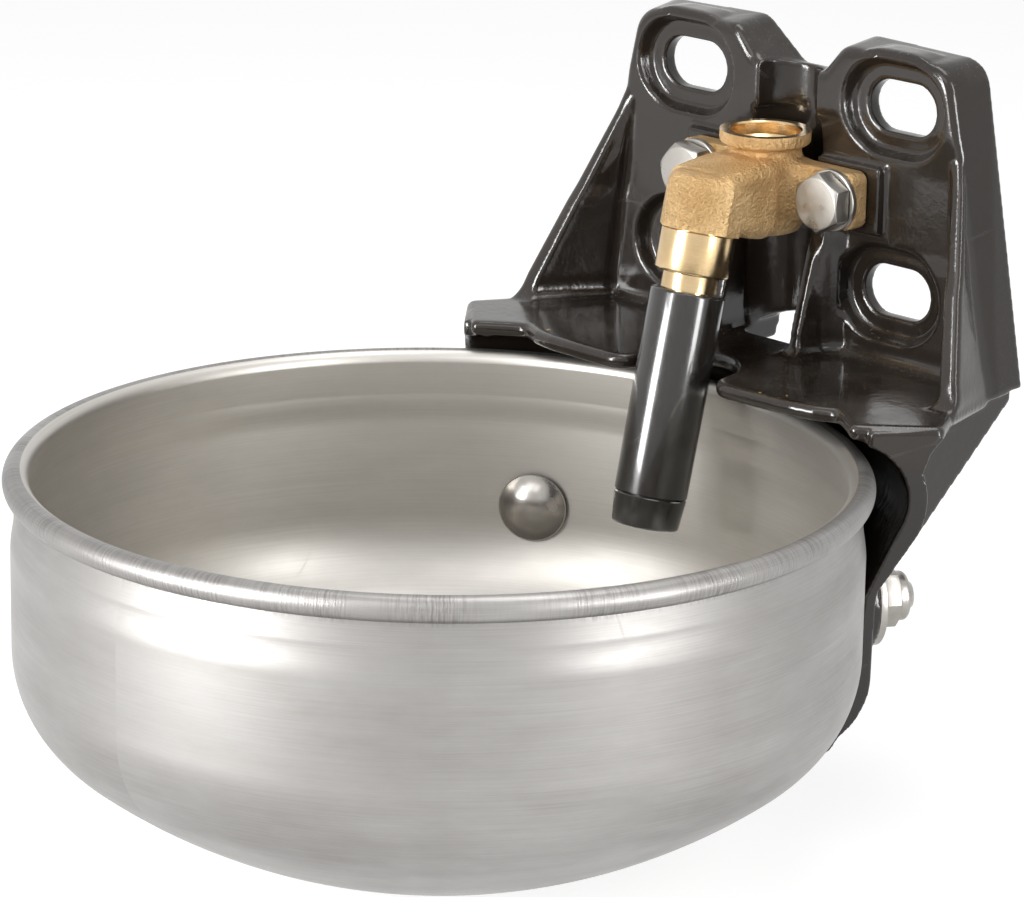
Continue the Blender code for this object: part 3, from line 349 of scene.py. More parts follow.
def makeBowlSteel(name, look):
    material, tree, shader = newMaterial(name, 1.0, 0.3)
    sheet = useGroup(tree, spunSheet, {"Centre": bowlSteel["centre"]})
    stray = useGroup(tree, scratches, {"Scale": 34.0, "Width": 0.004})
    cloud = rangeNode(tree, sheet["Cloud"], 0.25, 0.75, 0.0, 1.0)
    base = mixColour(tree, cloud, look["dark"], look["light"])
    lined = mixColour(tree, rangeNode(tree, sheet["Lines"], 0.3, 0.75, 0.0, 0.30), base, look["line"])
    chatter = mathNode(tree, "MULTIPLY", sheet["Chatter"], sheet["Rim"])
    marked = mixColour(tree, mathNode(tree, "MULTIPLY", chatter, look["chatter"]), lined, bowlSteel["rimMark"])
    wire(tree, marked, shader.inputs["Base Color"])
    rough = rangeNode(tree, sheet["Cloud"], 0.25, 0.75, look["rough"], look["smooth"])
    streaked = mathNode(tree, "ADD", rough, rangeNode(tree, sheet["Lines"], 0.2, 0.8, -0.03, 0.04))
    scored = mathNode(tree, "MULTIPLY", stray["Mask"], bowlSteel["scratchRough"])
    wire(tree, mathNode(tree, "ADD", streaked, scored), shader.inputs["Roughness"])
    dragged = addBump(tree, shader, sheet["Drag"], *bowlSteel["drag"])
    chattered = addBump(tree, shader, chatter, look["chatter"], bowlSteel["chatterDeep"], dragged)
    addBump(tree, shader, sheet["Lines"], *bowlSteel["lines"], chattered)
    return material


enamelLook = {
    "black": (0.0150, 0.0112, 0.0086), "worn": (0.030, 0.025, 0.020), "dust": (0.16, 0.14, 0.12),
    "score": (0.10, 0.095, 0.09), "scored": 0.12, "rust": (0.42, 0.27, 0.09), "roughLow": 0.10, "roughHigh": 0.22,
    # Centre and radius of each chip.
    "chips": [((0.0612, -0.0700, -0.0535), 0.0012), ((-0.0578, -0.0644, -0.0535), 0.0012),
              ((-0.0282, -0.0732, -0.0535), 0.0009), ((0.0383, -0.0687, -0.0535), 0.0008),
              ((0.0463, -0.0650, -0.0535), 0.0009)]}


def makeEnamel():
    material, tree, shader = newMaterial("Black enamel", 0.0, 0.2, 1.46, 0.12, 0.05)
    grain = useGroup(tree, castGrain, {"Scale": 0.5, "Swell": 1.2})
    wear = useGroup(tree, edgeWear, {"Start": 0.56, "End": 0.66})
    dust = useGroup(tree, settledDust, {"Amount": 0.5})
    stray = useGroup(tree, scratches, {"Scale": 30.0, "Width": 0.008})
    colour = mixColour(tree, wear["Mask"], enamelLook["black"], enamelLook["worn"])
    colour = mixColour(tree, dust["Mask"], colour, enamelLook["dust"])
    scored = mathNode(tree, "MULTIPLY", stray["Mask"], enamelLook["scored"])
    colour = mixColour(tree, scored, colour, enamelLook["score"])
    for centre, radius in enamelLook["chips"]:
        chip = useGroup(tree, enamelChip, {"Centre": centre, "Radius": radius})
        colour = mixColour(tree, chip["Mask"], colour, enamelLook["rust"])
    wire(tree, colour, shader.inputs["Base Color"])
    rough = rangeNode(tree, grain["Patches"], 0.0, 1.0, enamelLook["roughLow"], enamelLook["roughHigh"])
    wire(tree, rough, shader.inputs["Roughness"])
    addBump(tree, shader, grain["Height"], 0.22, 0.0004)
    return material


castBrassLook = {"sand": (0.80, 0.57, 0.31), "deep": (0.47, 0.30, 0.135), "bright": (0.92, 0.74, 0.46),
                 "tarnish": (0.34, 0.20, 0.08), "grain": (1.0, 0.0013)}


def makeCastBrass():
    material, tree, shader = newMaterial("Cast brass", 1.0, 0.42)
    grain = useGroup(tree, castGrain, {"Scale": 1.45, "Swell": 0.25})
    wear = useGroup(tree, edgeWear, {"Start": 0.53, "End": 0.60})
    colour = mixColour(tree, grain["Patches"], castBrassLook["sand"], castBrassLook["deep"])
    speckle = rangeNode(tree, grain["Height"], 0.45, 0.85, 0.7, 0.0)
    colour = mixColour(tree, speckle, colour, castBrassLook["deep"])
    hollow = mathNode(tree, "MULTIPLY", wear["Hollow"], 0.5)
    colour = mixColour(tree, hollow, colour, castBrassLook["tarnish"])
    wire(tree, mixColour(tree, wear["Mask"], colour, castBrassLook["bright"]), shader.inputs["Base Color"])
    wire(tree, rangeNode(tree, grain["Height"], 0.4, 1.0, 0.50, 0.27), shader.inputs["Roughness"])
    addBump(tree, shader, grain["Height"], *castBrassLook["grain"])
    return material


outletLean = 13.25
outletCentre = (0.0, -0.0597, -0.0236)
outletAxis = (0.0, sin(radians(outletLean)), cos(radians(outletLean)))
turnedLooks = {
    "Turned brass": {"colour": (0.74, 0.56, 0.325), "tint": (0.58, 0.40, 0.205), "rough": 0.19,
                     "centre": outletCentre, "axis": outletAxis},
    "Bolt steel": {"colour": (0.43, 0.41, 0.38), "tint": (0.31, 0.295, 0.27), "rough": 0.3,
                   "centre": (0.0288, 0.0, 0.0), "axis": (0.0, 1.0, 0.0)},
    "Cup bolt steel": {"colour": (0.46, 0.44, 0.41), "tint": (0.34, 0.32, 0.30), "rough": 0.2,
                       "centre": (0.0, -0.0597, -0.112), "axis": (0.515, 0.857, 0.0)},
    "Spring wire": {"colour": (0.58, 0.57, 0.55), "tint": (0.42, 0.41, 0.39), "rough": 0.25,
                    "centre": outletCentre, "axis": outletAxis},
    "Stem brass": {"colour": (0.74, 0.52, 0.22), "tint": (0.56, 0.36, 0.14), "rough": 0.24,
                   "centre": outletCentre, "axis": outletAxis}}


def makeTurnedMetal(name):
    look = turnedLooks[name]
    tint, rough = look["tint"], look["rough"]
    material, tree, shader = newMaterial(name, 1.0, rough)
    lines = useGroup(tree, turnedLines, {"Centre": look["centre"], "Axis": look["axis"], "Fineness": 2600.0})
    tone = mixColour(tree, rangeNode(tree, lines["Broad"], 0.35, 0.7, 0.0, 0.8), look["colour"], tint)
    lined = mixColour(tree, rangeNode(tree, lines["Along"], 0.35, 0.75, 0.0, 0.35), tone, tint)
    wire(tree, lined, shader.inputs["Base Color"])
    wire(tree, rangeNode(tree, lines["Broad"], 0.3, 0.7, rough * 0.7, rough * 1.5), shader.inputs["Roughness"])
    first = addBump(tree, shader, lines["Along"], 0.5, 0.00003)
    addBump(tree, shader, lines["Across"], 0.5, 0.00002, first)
    return material


plasticLook = {"black": (0.0115, 0.0100, 0.0088), "pale": (0.0170, 0.0150, 0.0130), "dust": (0.12, 0.12, 0.12),
               "score": (0.09, 0.09, 0.09)}


def makePlastic():
    # Drawn tube: fine lines along it, a little dust and a few scratches.
    material, tree, shader = newMaterial("Black plastic", 0.0, 0.2, 1.5, 0.5, 0.05)
    dust = useGroup(tree, settledDust, {"Amount": 0.25})
    stray = useGroup(tree, scratches, {"Scale": 60.0, "Width": 0.01})
    along = addNode(tree, "ShaderNodeMapping", {"Scale": (1.0, 1.0, 0.12)})
    wire(tree, objectPlace(tree), along.inputs["Vector"])
    drawn = noiseNode(tree, along.outputs[0], 900.0, 3.0, 0.6)
    colour = mixColour(tree, rangeNode(tree, drawn, 0.3, 0.7, 0.0, 1.0), plasticLook["black"], plasticLook["pale"])
    colour = mixColour(tree, dust["Mask"], colour, plasticLook["dust"])
    colour = mixColour(tree, mathNode(tree, "MULTIPLY", stray["Mask"], 0.2), colour, plasticLook["score"])
    wire(tree, colour, shader.inputs["Base Color"])
    wire(tree, rangeNode(tree, drawn, 0.25, 0.75, 0.15, 0.27), shader.inputs["Roughness"])
    addBump(tree, shader, drawn, 0.25, 0.00004)
    return material


softLooks = {"Black rubber": {"colour": (0.014, 0.014, 0.014), "pale": (0.032, 0.031, 0.030), "rough": 0.62,
                              "scale": 500.0},
             "Nylon": {"colour": (0.62, 0.60, 0.52), "pale": (0.74, 0.72, 0.66), "rough": 0.45, "scale": 300.0}}


def makeSoft(name):
    # Rubber and nylon: a slightly mottled matt skin.
    look = softLooks[name]
    rough = look["rough"]
    material, tree, shader = newMaterial(name, 0.0, rough)
    mottle = noiseNode(tree, objectPlace(tree), look["scale"], 4.0, 0.6)
    share = rangeNode(tree, mottle, 0.35, 0.65, 0.0, 1.0)
    wire(tree, mixColour(tree, share, look["colour"], look["pale"]), shader.inputs["Base Color"])
    wire(tree, rangeNode(tree, mottle, 0.3, 0.7, rough * 0.85, rough * 1.1), shader.inputs["Roughness"])
    addBump(tree, shader, mottle, 0.3, 0.00006)
    return material


# The same steel twice: the outside copy has darker colours painted in as shade.
bowlMaterial = makeBowlSteel("Brushed stainless", bowlSteel["outside"])
bowlInsideMaterial = makeBowlSteel("Satin stainless inside", bowlSteel["inside"])
enamelMaterial = makeEnamel()
castBrassMaterial = makeCastBrass()
turnedBrassMaterial = makeTurnedMetal("Turned brass")
plasticMaterial = makePlastic()
boltMaterial = makeTurnedMetal("Bolt steel")
cupMaterial = makeTurnedMetal("Cup bolt steel")
rubberMaterial = makeSoft("Black rubber")
nylonMaterial = makeSoft("Nylon")
springMaterial = makeTurnedMetal("Spring wire")
stemMaterial = makeTurnedMetal("Stem brass")

nodeMaterials = {
    "bowl": bowlMaterial, "bracket": enamelMaterial, "valve_body": castBrassMaterial,
    "outlet_ring": turnedBrassMaterial, "tube_collar": turnedBrassMaterial, "slip_ring": nylonMaterial,
    "push_tube": plasticMaterial, "tube_tip": plasticMaterial, "valve_stem": stemMaterial,
    "valve_disc": stemMaterial, "valve_seal": rubberMaterial, "stem_nut": boltMaterial,
    "valve_spring": springMaterial}
pairMaterials = {
    "carriage_bolt_": cupMaterial, "bowl_bolt_seal_": rubberMaterial, "bowl_washer_": boltMaterial,
    "lock_nut_": boltMaterial, "lock_nut_insert_": nylonMaterial, "valve_bolt_": boltMaterial,
    "valve_washer_": boltMaterial, "valve_nut_": boltMaterial}
for side in ("left", "right"):
    for name, material in pairMaterials.items():
        nodeMaterials[name + side] = material

for name, node in nodes.items():
    node.data.materials.clear()
    node.data.materials.append(nodeMaterials[name])
print("Materials made and given to the nodes")


# Floor, world and lamps

studio = {
    "floorSize": 8.0, "floorGap": 0.0004, "floorBounce": 0.80, "floorLit": 0.42, "floorGlow": 0.77, "ambient": 0.26,
    "target": (0.0, -0.12, -0.05),
    # Name, place, width, height and power of each lamp.
    "lamps": [("Key", (-0.13, -1.42, 0.36), 0.16, 0.95, 13.0), ("Panel", (-0.30, -1.20, 0.06), 0.30, 0.36, 10.0),
              ("Front", (0.35, -1.15, 1.05), 0.9, 0.5, 2.4), ("Side", (1.30, -0.10, 0.62), 0.22, 0.8, 4.8),
              ("Low side", (1.15, -0.10, 0.05), 0.26, 0.34, 5.0), ("Top", (0.05, 0.10, 1.25), 0.9, 0.5, 5.6)]}


def grey(level):
    return (level, level, level, 1.0)


def mixBySight(tree, plain, seen):
    # The camera, metal and glass see the second shader. Other light meets the first.
    path = addNode(tree, "ShaderNodeLightPath")
    share = mathNode(tree, "MAXIMUM", path.outputs["Is Camera Ray"], path.outputs["Is Glossy Ray"])
    share = mathNode(tree, "MAXIMUM", share, path.outputs["Is Transmission Ray"])
    mixed = addNode(tree, "ShaderNodeMixShader")
    for index, source in enumerate((share, plain, seen)):
        wire(tree, source, mixed.inputs[index])
    return mixed.outputs[0]


def makeFloor():
    reach = studio["floorSize"] / 2.0
    low = cadBox[0][2] - studio["floorGap"]
    mesh = bpy.data.meshes.new("Floor")
    mesh.from_pydata([(-reach, -reach, low), (reach, -reach, low), (reach, reach, low), (-reach, reach, low)],
                     [], [(0, 1, 2, 3)])
    floor = bpy.data.objects.new("Floor", mesh)
    bpy.context.scene.collection.objects.link(floor)
    material = bpy.data.materials.new("White floor")
    material.use_nodes = True
    tree = material.node_tree
    tree.nodes.clear()
    plain = addNode(tree, "ShaderNodeBsdfDiffuse", {"Color": grey(studio["floorBounce"])})
    pale = addNode(tree, "ShaderNodeBsdfDiffuse", {"Color": grey(studio["floorLit"])})
    glow = addNode(tree, "ShaderNodeEmission", {"Color": grey(1.0), "Strength": studio["floorGlow"]})
    added = addNode(tree, "ShaderNodeAddShader")
    wire(tree, pale.outputs[0], added.inputs[0])
    wire(tree, glow.outputs[0], added.inputs[1])
    surface = mixBySight(tree, plain.outputs[0], added.outputs[0])
    wire(tree, surface, addNode(tree, "ShaderNodeOutputMaterial").inputs["Surface"])
    mesh.materials.append(material)


def makeWorld():
    world = bpy.data.worlds.new("Studio")
    bpy.context.scene.world = world
    world.use_nodes = True
    tree = world.node_tree
    tree.nodes.clear()
    ambient = addNode(tree, "ShaderNodeBackground", {"Color": grey(1.0), "Strength": studio["ambient"]})
    white = addNode(tree, "ShaderNodeBackground", {"Color": grey(1.0), "Strength": 1.0})
    surface = mixBySight(tree, ambient.outputs[0], white.outputs[0])
    wire(tree, surface, addNode(tree, "ShaderNodeOutputWorld").inputs["Surface"])


def makeLamps():
    for label, place, width, height, power in studio["lamps"]:
        data = bpy.data.lights.new(label, "AREA")
        data.shape = "RECTANGLE"
        data.size = width
        data.size_y = height
        data.energy = power
        lamp = bpy.data.objects.new(label, data)
        lamp.location = place
        aim = Vector(studio["target"]) - Vector(place)
        lamp.rotation_euler = aim.to_track_quat("-Z", "Y").to_euler()
        bpy.context.scene.collection.objects.link(lamp)


makeFloor()
makeWorld()
makeLamps()
print("Studio made")


# Shape helpers

def arcPoints(centre, radius, start, end, steps):
    points = []
    for step in range(steps + 1):
        angle = radians(start + (end - start) * step / steps)
        points.append((centre[0] + radius * cos(angle), centre[1] + radius * sin(angle)))
    return points


def finishShape(shape, name, material):
    bmesh.ops.recalc_face_normals(shape, faces=shape.faces)
    if shape.calc_volume(signed=True) < 0.0:
        bmesh.ops.reverse_faces(shape, faces=shape.faces)
    mesh = bpy.data.meshes.new(name)
    shape.to_mesh(mesh)
    shape.free()
    mesh.shade_smooth()
    if material is not None:
        mesh.materials.append(material)
    item = bpy.data.objects.new(name, mesh)
    bpy.context.scene.collection.objects.link(item)
    return item


def turnedPiece(name, profile, segments, matrix, material=None, closed=True):
    # Turns (radius, height) points about local Z. An open profile starts and ends on the axis.
    shape = bmesh.new()
    rings = []
    for radius, height in profile:
        if radius < 1e-7:
            rings.append([shape.verts.new(matrix @ Vector((0.0, 0.0, height)))])
            continue
        rings.append([shape.verts.new(matrix @ Vector((radius * cos(2.0 * pi * index / segments),
                                                       radius * sin(2.0 * pi * index / segments), height)))
                      for index in range(segments)])
    pairs = list(zip(rings, rings[1:]))
    if closed:
        pairs.append((rings[-1], rings[0]))
    for first, second in pairs:
        for index in range(segments):
            after = (index + 1) % segments
            if len(first) == 1:
                shape.faces.new((first[0], second[after], second[index]))
            elif len(second) == 1:
                shape.faces.new((first[index], first[after], second[0]))
            else:
                shape.faces.new((first[index], first[after], second[after], second[index]))
    return finishShape(shape, name, material)


def loftPiece(name, rings, material=None):
    # Joins rings of equal length, with flat ends.
    shape = bmesh.new()
    rows = [[shape.verts.new(point) for point in ring] for ring in rings]
    count = len(rows[0])
    for lower, upper in zip(rows, rows[1:]):
        for index in range(count):
            after = (index + 1) % count
            shape.faces.new((lower[index], lower[after], upper[after], upper[index]))
    shape.faces.new(rows[0])
    shape.faces.new(rows[-1])
    return finishShape(shape, name, material)


def prismPiece(name, outline, low, high, matrix=Matrix.Identity(4), material=None):
    rings = [[matrix @ Vector((x, y, height)) for x, y in outline] for height in (low, high)]
    return loftPiece(name, rings, material)


def boxPiece(name, low, high, matrix=Matrix.Identity(4)):
    outline = [(low[0], low[1]), (high[0], low[1]), (high[0], high[1]), (low[0], high[1])]
    return prismPiece(name, outline, low[2], high[2], matrix)


def rodPiece(name, radius, low, high, matrix, segments=64):
    profile = [(0.0, low), (radius, low), (radius, high), (0.0, high)]
    return turnedPiece(name, profile, segments, matrix, closed=False)


def stadiumOutline(length, width, margin=0.0, steps=20):
    radius = width / 2.0 + margin
    half = (length - width) / 2.0
    return (arcPoints((half, 0.0), radius, -90.0, 90.0, steps)
            + arcPoints((-half, 0.0), radius, 90.0, 270.0, steps))


def settle(item):
    # Applies every modifier.
    bpy.context.view_layer.update()
    made = bpy.data.meshes.new_from_object(item.evaluated_get(bpy.context.evaluated_depsgraph_get()))
    item.modifiers.clear()
    item.data = made
    return item


def bevelEdges(item, width, segments, angle):
    modifier = item.modifiers.new("Round", "BEVEL")
    modifier.width = width
    modifier.segments = segments
    modifier.limit_method = "ANGLE"
    modifier.angle_limit = radians(angle)
    return settle(item)


def union(*pieces):
    return [("UNION", piece) for piece in pieces]


def cut(*pieces):
    return [("DIFFERENCE", piece) for piece in pieces]


def within(*pieces):
    return [("INTERSECT", piece) for piece in pieces]


def useSolids(item, steps, materialMode):
    # Adds or cuts solids one after another, then removes them.
    for operation, other in steps:
        modifier = item.modifiers.new(other.name, "BOOLEAN")
        modifier.solver = "MANIFOLD"
        modifier.material_mode = materialMode
        modifier.operation = operation
        modifier.object = other
    settle(item)
    for _, other in steps:
        bpy.data.objects.remove(other)


def combineSolids(item, steps):
    # The item keeps its own material all over.
    useSolids(item, steps, "INDEX")
    while len(item.data.materials) > 1:
        item.data.materials.pop()
    return item


def machineSolid(item, steps):
    # The cutters leave their own material on the faces that they cut.
    useSolids(item, steps, "TRANSFER")
    return sharpen(item)


def soften(item, voxel, rounds):
    # Turns a sharp solid into a cast one: even small faces, then every edge and corner eased.
    remesh = item.modifiers.new("Remesh", "REMESH")
    remesh.mode = "VOXEL"
    remesh.voxel_size = voxel
    ease = item.modifiers.new("Ease", "SMOOTH")
    ease.factor = 0.5
    ease.iterations = rounds
    settle(item)
    item.data.shade_smooth()
    return item


def sharpen(item, angle=35.0):
    item.data.shade_smooth()
    item.data.set_sharp_from_angle(angle=radians(angle))
    return item


def rideOn(item, body, *replaced):
    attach(item, body)
    if replaced:
        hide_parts(*replaced)
    return item


facingFront = Matrix.Rotation(radians(90.0), 4, "X")
atOutlet = Matrix.Translation(outletCentre) @ Matrix.Rotation(radians(-outletLean), 4, "X")


# Bowl

bowl = {"centre": (0.0, -0.171, -0.067), "wall": 0.1298, "sheet": 0.0015, "corner": 0.038, "dome": 0.185,
        "base": 0.035, "baseRings": (0.35, 0.7, 0.9), "depth": 0.1194, "middle": 0.4,
        "roll": 0.004, "rollInset": 0.0018, "rollEnd": -70.0, "neckHeight": 0.011, "neckInset": 0.0012,
        "wallTop": 0.022, "segments": 288, "arcSteps": 24, "rollSteps": 40}


def domeArcs():
    # Centres of the dome's arc and the corner's arc, and where each starts, in degrees.
    baseAngle = asin(bowl["base"] / bowl["dome"])
    domeCentre = -bowl["depth"] + bowl["dome"] * cos(baseAngle)
    reach = bowl["dome"] - bowl["corner"]
    cornerCentre = domeCentre - sqrt(reach ** 2 - (bowl["wall"] - bowl["corner"]) ** 2)
    slope = asin((bowl["wall"] - bowl["corner"]) / reach)
    return {"dome": (0.0, domeCentre), "corner": (bowl["wall"] - bowl["corner"], cornerCentre),
            "baseTurn": -90.0 + baseAngle * 180.0 / pi, "cornerTurn": -90.0 + slope * 180.0 / pi}


bowlArcs = domeArcs()


def bowlSkin(offset):
    turn, steps = bowlArcs["cornerTurn"], bowl["arcSteps"]
    line = arcPoints(bowlArcs["dome"], bowl["dome"] - offset, bowlArcs["baseTurn"], turn, steps)
    return line + arcPoints(bowlArcs["corner"], bowl["corner"] - offset, turn, 0.0, steps)[1:]


def neckLine(offset):
    # Soft S from the wall up to the neck.
    line = []
    for step in range(13):
        share = step / 12.0
        height = -bowl["wallTop"] + (bowl["wallTop"] - bowl["neckHeight"]) * share
        line.append((bowl["wall"] - offset - bowl["neckInset"] * (1.0 - cos(pi * share)) / 2.0, height))
    return line


def makeBowl():
    sheet, rings, rollEnd = bowl["sheet"], bowl["baseRings"], bowl["rollEnd"]
    roll = (bowl["wall"] - bowl["rollInset"], 0.0)
    flat = -bowl["depth"]
    inner = [(0.0, flat + sheet)] + [(bowl["base"] * share, flat + sheet) for share in rings]
    inner += bowlSkin(sheet) + neckLine(sheet)
    inner += arcPoints(roll, bowl["roll"], 180.0, rollEnd, bowl["rollSteps"])
    outer = arcPoints(roll, bowl["roll"] - sheet, rollEnd, 180.0, bowl["arcSteps"])
    outer += list(reversed(neckLine(0.0))) + list(reversed(bowlSkin(0.0)))
    outer += [(bowl["base"] * share, flat) for share in reversed(rings)] + [(0.0, flat)]
    item = turnedPiece("bowl_shell", inner + outer, bowl["segments"], Matrix.Translation(bowl["centre"]),
                       bowlMaterial, closed=False)
    item.data.materials.append(bowlInsideMaterial)
    # Faces turned to the bowl's middle take the inside material. The rest keep the outside copy, whose darker colours
    # are painted shade.
    middle = Vector(bowl["centre"]) - Vector((0.0, 0.0, bowl["depth"] * bowl["middle"]))
    for face in item.data.polygons:
        face.material_index = int(face.normal.dot(face.center - middle) < 0.0)
    return rideOn(item, "fixed", "bowl")


makeBowl()
print("Bowl made")


# Bracket

bracket = {
    # Plate. Its corners, as x, z and radius, run from the middle out, at the back and at the face.
    "front": 0.0150, "wall": 0.0050, "sideWall": 0.0058, "edge": 0.0024, "backEdge": 0.0008,
    "footZ": -0.0544, "footX": 0.088, "sink": 0.002,
    "back": [(0.0052, 0.0354, 0.006), (0.0224, 0.0489, 0.008), (0.0686, 0.0476, 0.0095)],
    "face": [(0.0150, 0.0376, 0.004), (0.0222, 0.0470, 0.006), (0.0650, 0.0468, 0.0105)],
    # Extra thickness of the ears and round the lower slots: how much, where it starts and over what length.
    "earThick": 0.0017, "earFrom": 0.009, "earOver": 0.018, "footThick": 0.0006, "footFrom": -0.013,
    "footOver": 0.008, "footTo": -0.050, "footToOver": 0.006, "thickFrom": 0.002, "thickOver": 0.010,
    # Slots and their seats.
    "slotX": 0.044, "slotZ": 0.030, "slotLength": 0.0268, "slotWidth": 0.0166, "seatDepth": 0.0047,
    "seatMargin": 0.0076, "seatFloorMargin": 0.0056, "slotWall": 0.0046, "backingMargin": 0.003,
    # Valve pad, pipe groove and the window under them.
    "padX": 0.041, "padZ": 0.0108, "padHeight": 0.0032, "valleyZ": 0.037,
    "grooveRadius": 0.015, "grooveY": -0.019, "grooveStep": 0.022, "grooveTop": 0.06,
    "topGrooveRadius": 0.0125, "topGrooveY": -0.0165, "grooveBackX": 0.0167, "grooveBackLow": -0.052,
    "windowTop": -0.0465, "windowRise": 0.004, "windowX": 0.014, "windowDrop": 0.008, "windowDeep": 0.0178,
    # Ribs: place, widths of face and root, and how far the foot reaches.
    "ribX": 0.0153, "ribFace": 0.0038, "ribRoot": 0.0085, "ribFoot": 0.030, "ribBack": -0.011, "ribRise": 0.005,
    "ribBend": 0.45, "ribEase": 0.003,
    # Gussets: x of the inner and outer side and of the root, at the top and at the foot.
    "gussetTop": 0.0205, "innerTop": 0.0662, "innerFoot": 0.0875, "outerTop": 0.0708, "outerFoot": 0.0950,
    "rootTop": 0.0672, "rootFoot": 0.0756, "gussetFront": 0.0425, "gussetStart": 0.001, "gussetSink": 0.0025,
    "rootReach": 0.0035, "crease": 0.018, "nose": 0.0022, "skinGap": 0.0002, "gussetBack": -0.006,
    # Shelf.
    "shelfTop": -0.0530, "shelfThick": 0.0050, "shelfFront": -0.0712, "shelfBack": -0.0125,
    "noseRadius": 0.1252, "tailRadius": 0.1535, "notchRadius": 0.0175, "notchY": -0.063, "shelfRound": 0.0019,
    # Where its front bows back to the nose of the curl: x and y, then turns about the bowl's axis.
    "bow": [(0.038, -0.0711), (0.052, -0.0704), (0.060, -0.0689), (0.067, -0.0656)], "noseTurns": (34.5, 37.9, 40.7),
    # Curl over the rim, strap and braces.
    "half": 41.9, "curlRadius": 0.1255, "curlHeight": -0.0095, "curlInner": 0.018, "curlWall": 0.0061,
    "curlStart": 74.0, "curlEnd": -34.0, "curlOutStart": 22.0, "strapTop": 0.0115,
    "strapWall": 0.0042, "strapCorner": 0.026, "strapEnd": 0.0398, "strapEndThick": 0.0118, "strapTurn": 3.2,
    "skirt": 0.1488, "skinOff": 0.0015, "gap": 0.0003,
    "braceX": 0.084, "braceThick": 0.006, "braceLow": -0.0979, "braceY": -0.048, "braceTop": -0.030,
    # Bolts.
    "boltAngle": 31.0, "boltRise": 0.0036, "bossRadius": 0.0165, "bossFace": 0.1376, "square": 0.0053,
    "screw": 0.0055, "boltX": 0.0288,
    "cove": 0.0045, "coveX": 0.080, "voxel": 0.0007, "rounds": 7}
bowlY, rimZ = bowl["centre"][1], bowl["centre"][2]
cornerHeight = bowlArcs["corner"][1]
boltHeight = rimZ + cornerHeight + bracket["boltRise"]
slotSizes = (bracket["slotLength"], bracket["slotWidth"])
atRim = Matrix.Translation((0.0, bowlY, rimZ))


def atCarriage(side):
    turned = Matrix.Rotation(radians(-side * bracket["boltAngle"]), 4, "Z") @ Matrix.Rotation(radians(-90.0), 4, "X")
    return Matrix.Translation((0.0, bowlY, boltHeight)) @ turned


def placedFront(x, z):
    return Matrix.Translation((x, 0.0, z)) @ facingFront


def between(start, end, share):
    return start + (end - start) * share


def roundCorners(corners, steps=10):
    # Corners as (x, z, radius), with a plain point before the first and after the last.
    line = [corners[0][:2]]
    for before, corner, after in zip(corners, corners[1:], corners[2:]):
        point = Vector(corner[:2])
        back = (Vector(before[:2]) - point).normalized()
        ahead = (Vector(after[:2]) - point).normalized()
        half = back.angle(ahead) / 2.0
        reach = corner[2] / tan(half)
        middle = point + (back + ahead).normalized() * corner[2] / sin(half)
        first = point + back * reach - middle
        last = point + ahead * reach - middle
        for step in range(steps + 1):
            share = step / steps
            turned = (first * (1.0 - share) + last * share).normalized() * corner[2]
            line.append(tuple(middle + turned))
    line.append(corners[-1][:2])
    return line


def insetCorners(corners, inset):
    # Moves the straight sides of a corner line inwards. It starts on the middle and ends at the foot.
    line = [(0.0, corners[0][1], 0.0)] + list(corners) + [(bracket["footX"], bracket["footZ"], 0.0)]
    sides = []
    for first, second in zip(line, line[1:]):
        ahead = (Vector(second[:2]) - Vector(first[:2])).normalized()
        inwards = Vector((ahead.y, -ahead.x))
        sides.append((Vector(first[:2]) + inwards * inset, ahead))
    moved = [(0.0, corners[0][1] - inset, 0.0)]
    for corner, (start, ahead), (nextStart, nextAhead) in zip(line[1:-1], sides, sides[1:]):
        turn = ahead.cross(nextAhead)
        reach = (nextStart - start).cross(nextAhead) / turn
        point = start + ahead * reach
        moved.append((point.x, point.y, max(corner[2] + (inset if turn > 0.0 else -inset), 0.0006)))
    start, ahead = sides[-1]
    end = start + ahead * ((bracket["footZ"] + inset - start.y) / ahead.y)
    moved.append((end.x, end.y, 0.0))
    return moved


def plateOutline(corners, inset, y):
    right = roundCorners(insetCorners(corners, inset))
    return [(x, y, z) for x, z in right] + [(-x, y, z) for x, z in reversed(right) if x > 0.0001]


def cornersAt(depth):
    # The plate's corners at a depth in front of the wall.
    share = min(depth / bracket["front"], 1.0)
    return [tuple(between(a, b, share) for a, b in zip(back, face))
            for back, face in zip(bracket["back"], bracket["face"])]


def makePlate():
    front, edge, back = bracket["front"], bracket["edge"], bracket["backEdge"]
    rings = [plateOutline(cornersAt(0.0), back, 0.0), plateOutline(cornersAt(0.0), back * 0.3, -back * 0.3),
             plateOutline(cornersAt(back), 0.0, -back)]
    for turn in range(0, 91, 15):
        angle = radians(turn)
        depth = front - edge * (1.0 - sin(angle))
        rings.append(plateOutline(cornersAt(depth), edge * (1.0 - cos(angle)), -depth))
    return loftPiece("bracket_casting", rings, enamelMaterial)


def makeHollow():
    front, side = bracket["front"], bracket["sideWall"]
    rings = [plateOutline(cornersAt(0.0), side, bracket["sink"]),
             plateOutline(cornersAt(front), side, -front + bracket["wall"])]
    return loftPiece("Hollow", rings)


def coveWidth(height):
    # Width of a concave fillet at a height above the face it runs out on.
    radius = bracket["cove"]
    if height >= radius:
        return 0.0
    return radius - sqrt(radius ** 2 - (radius - max(height, 0.0)) ** 2)


def sideX(z, depth):
    top = cornersAt(depth)[-1]
    return top[0] + (bracket["footX"] - top[0]) * (top[1] - z) / (top[1] - bracket["footZ"])


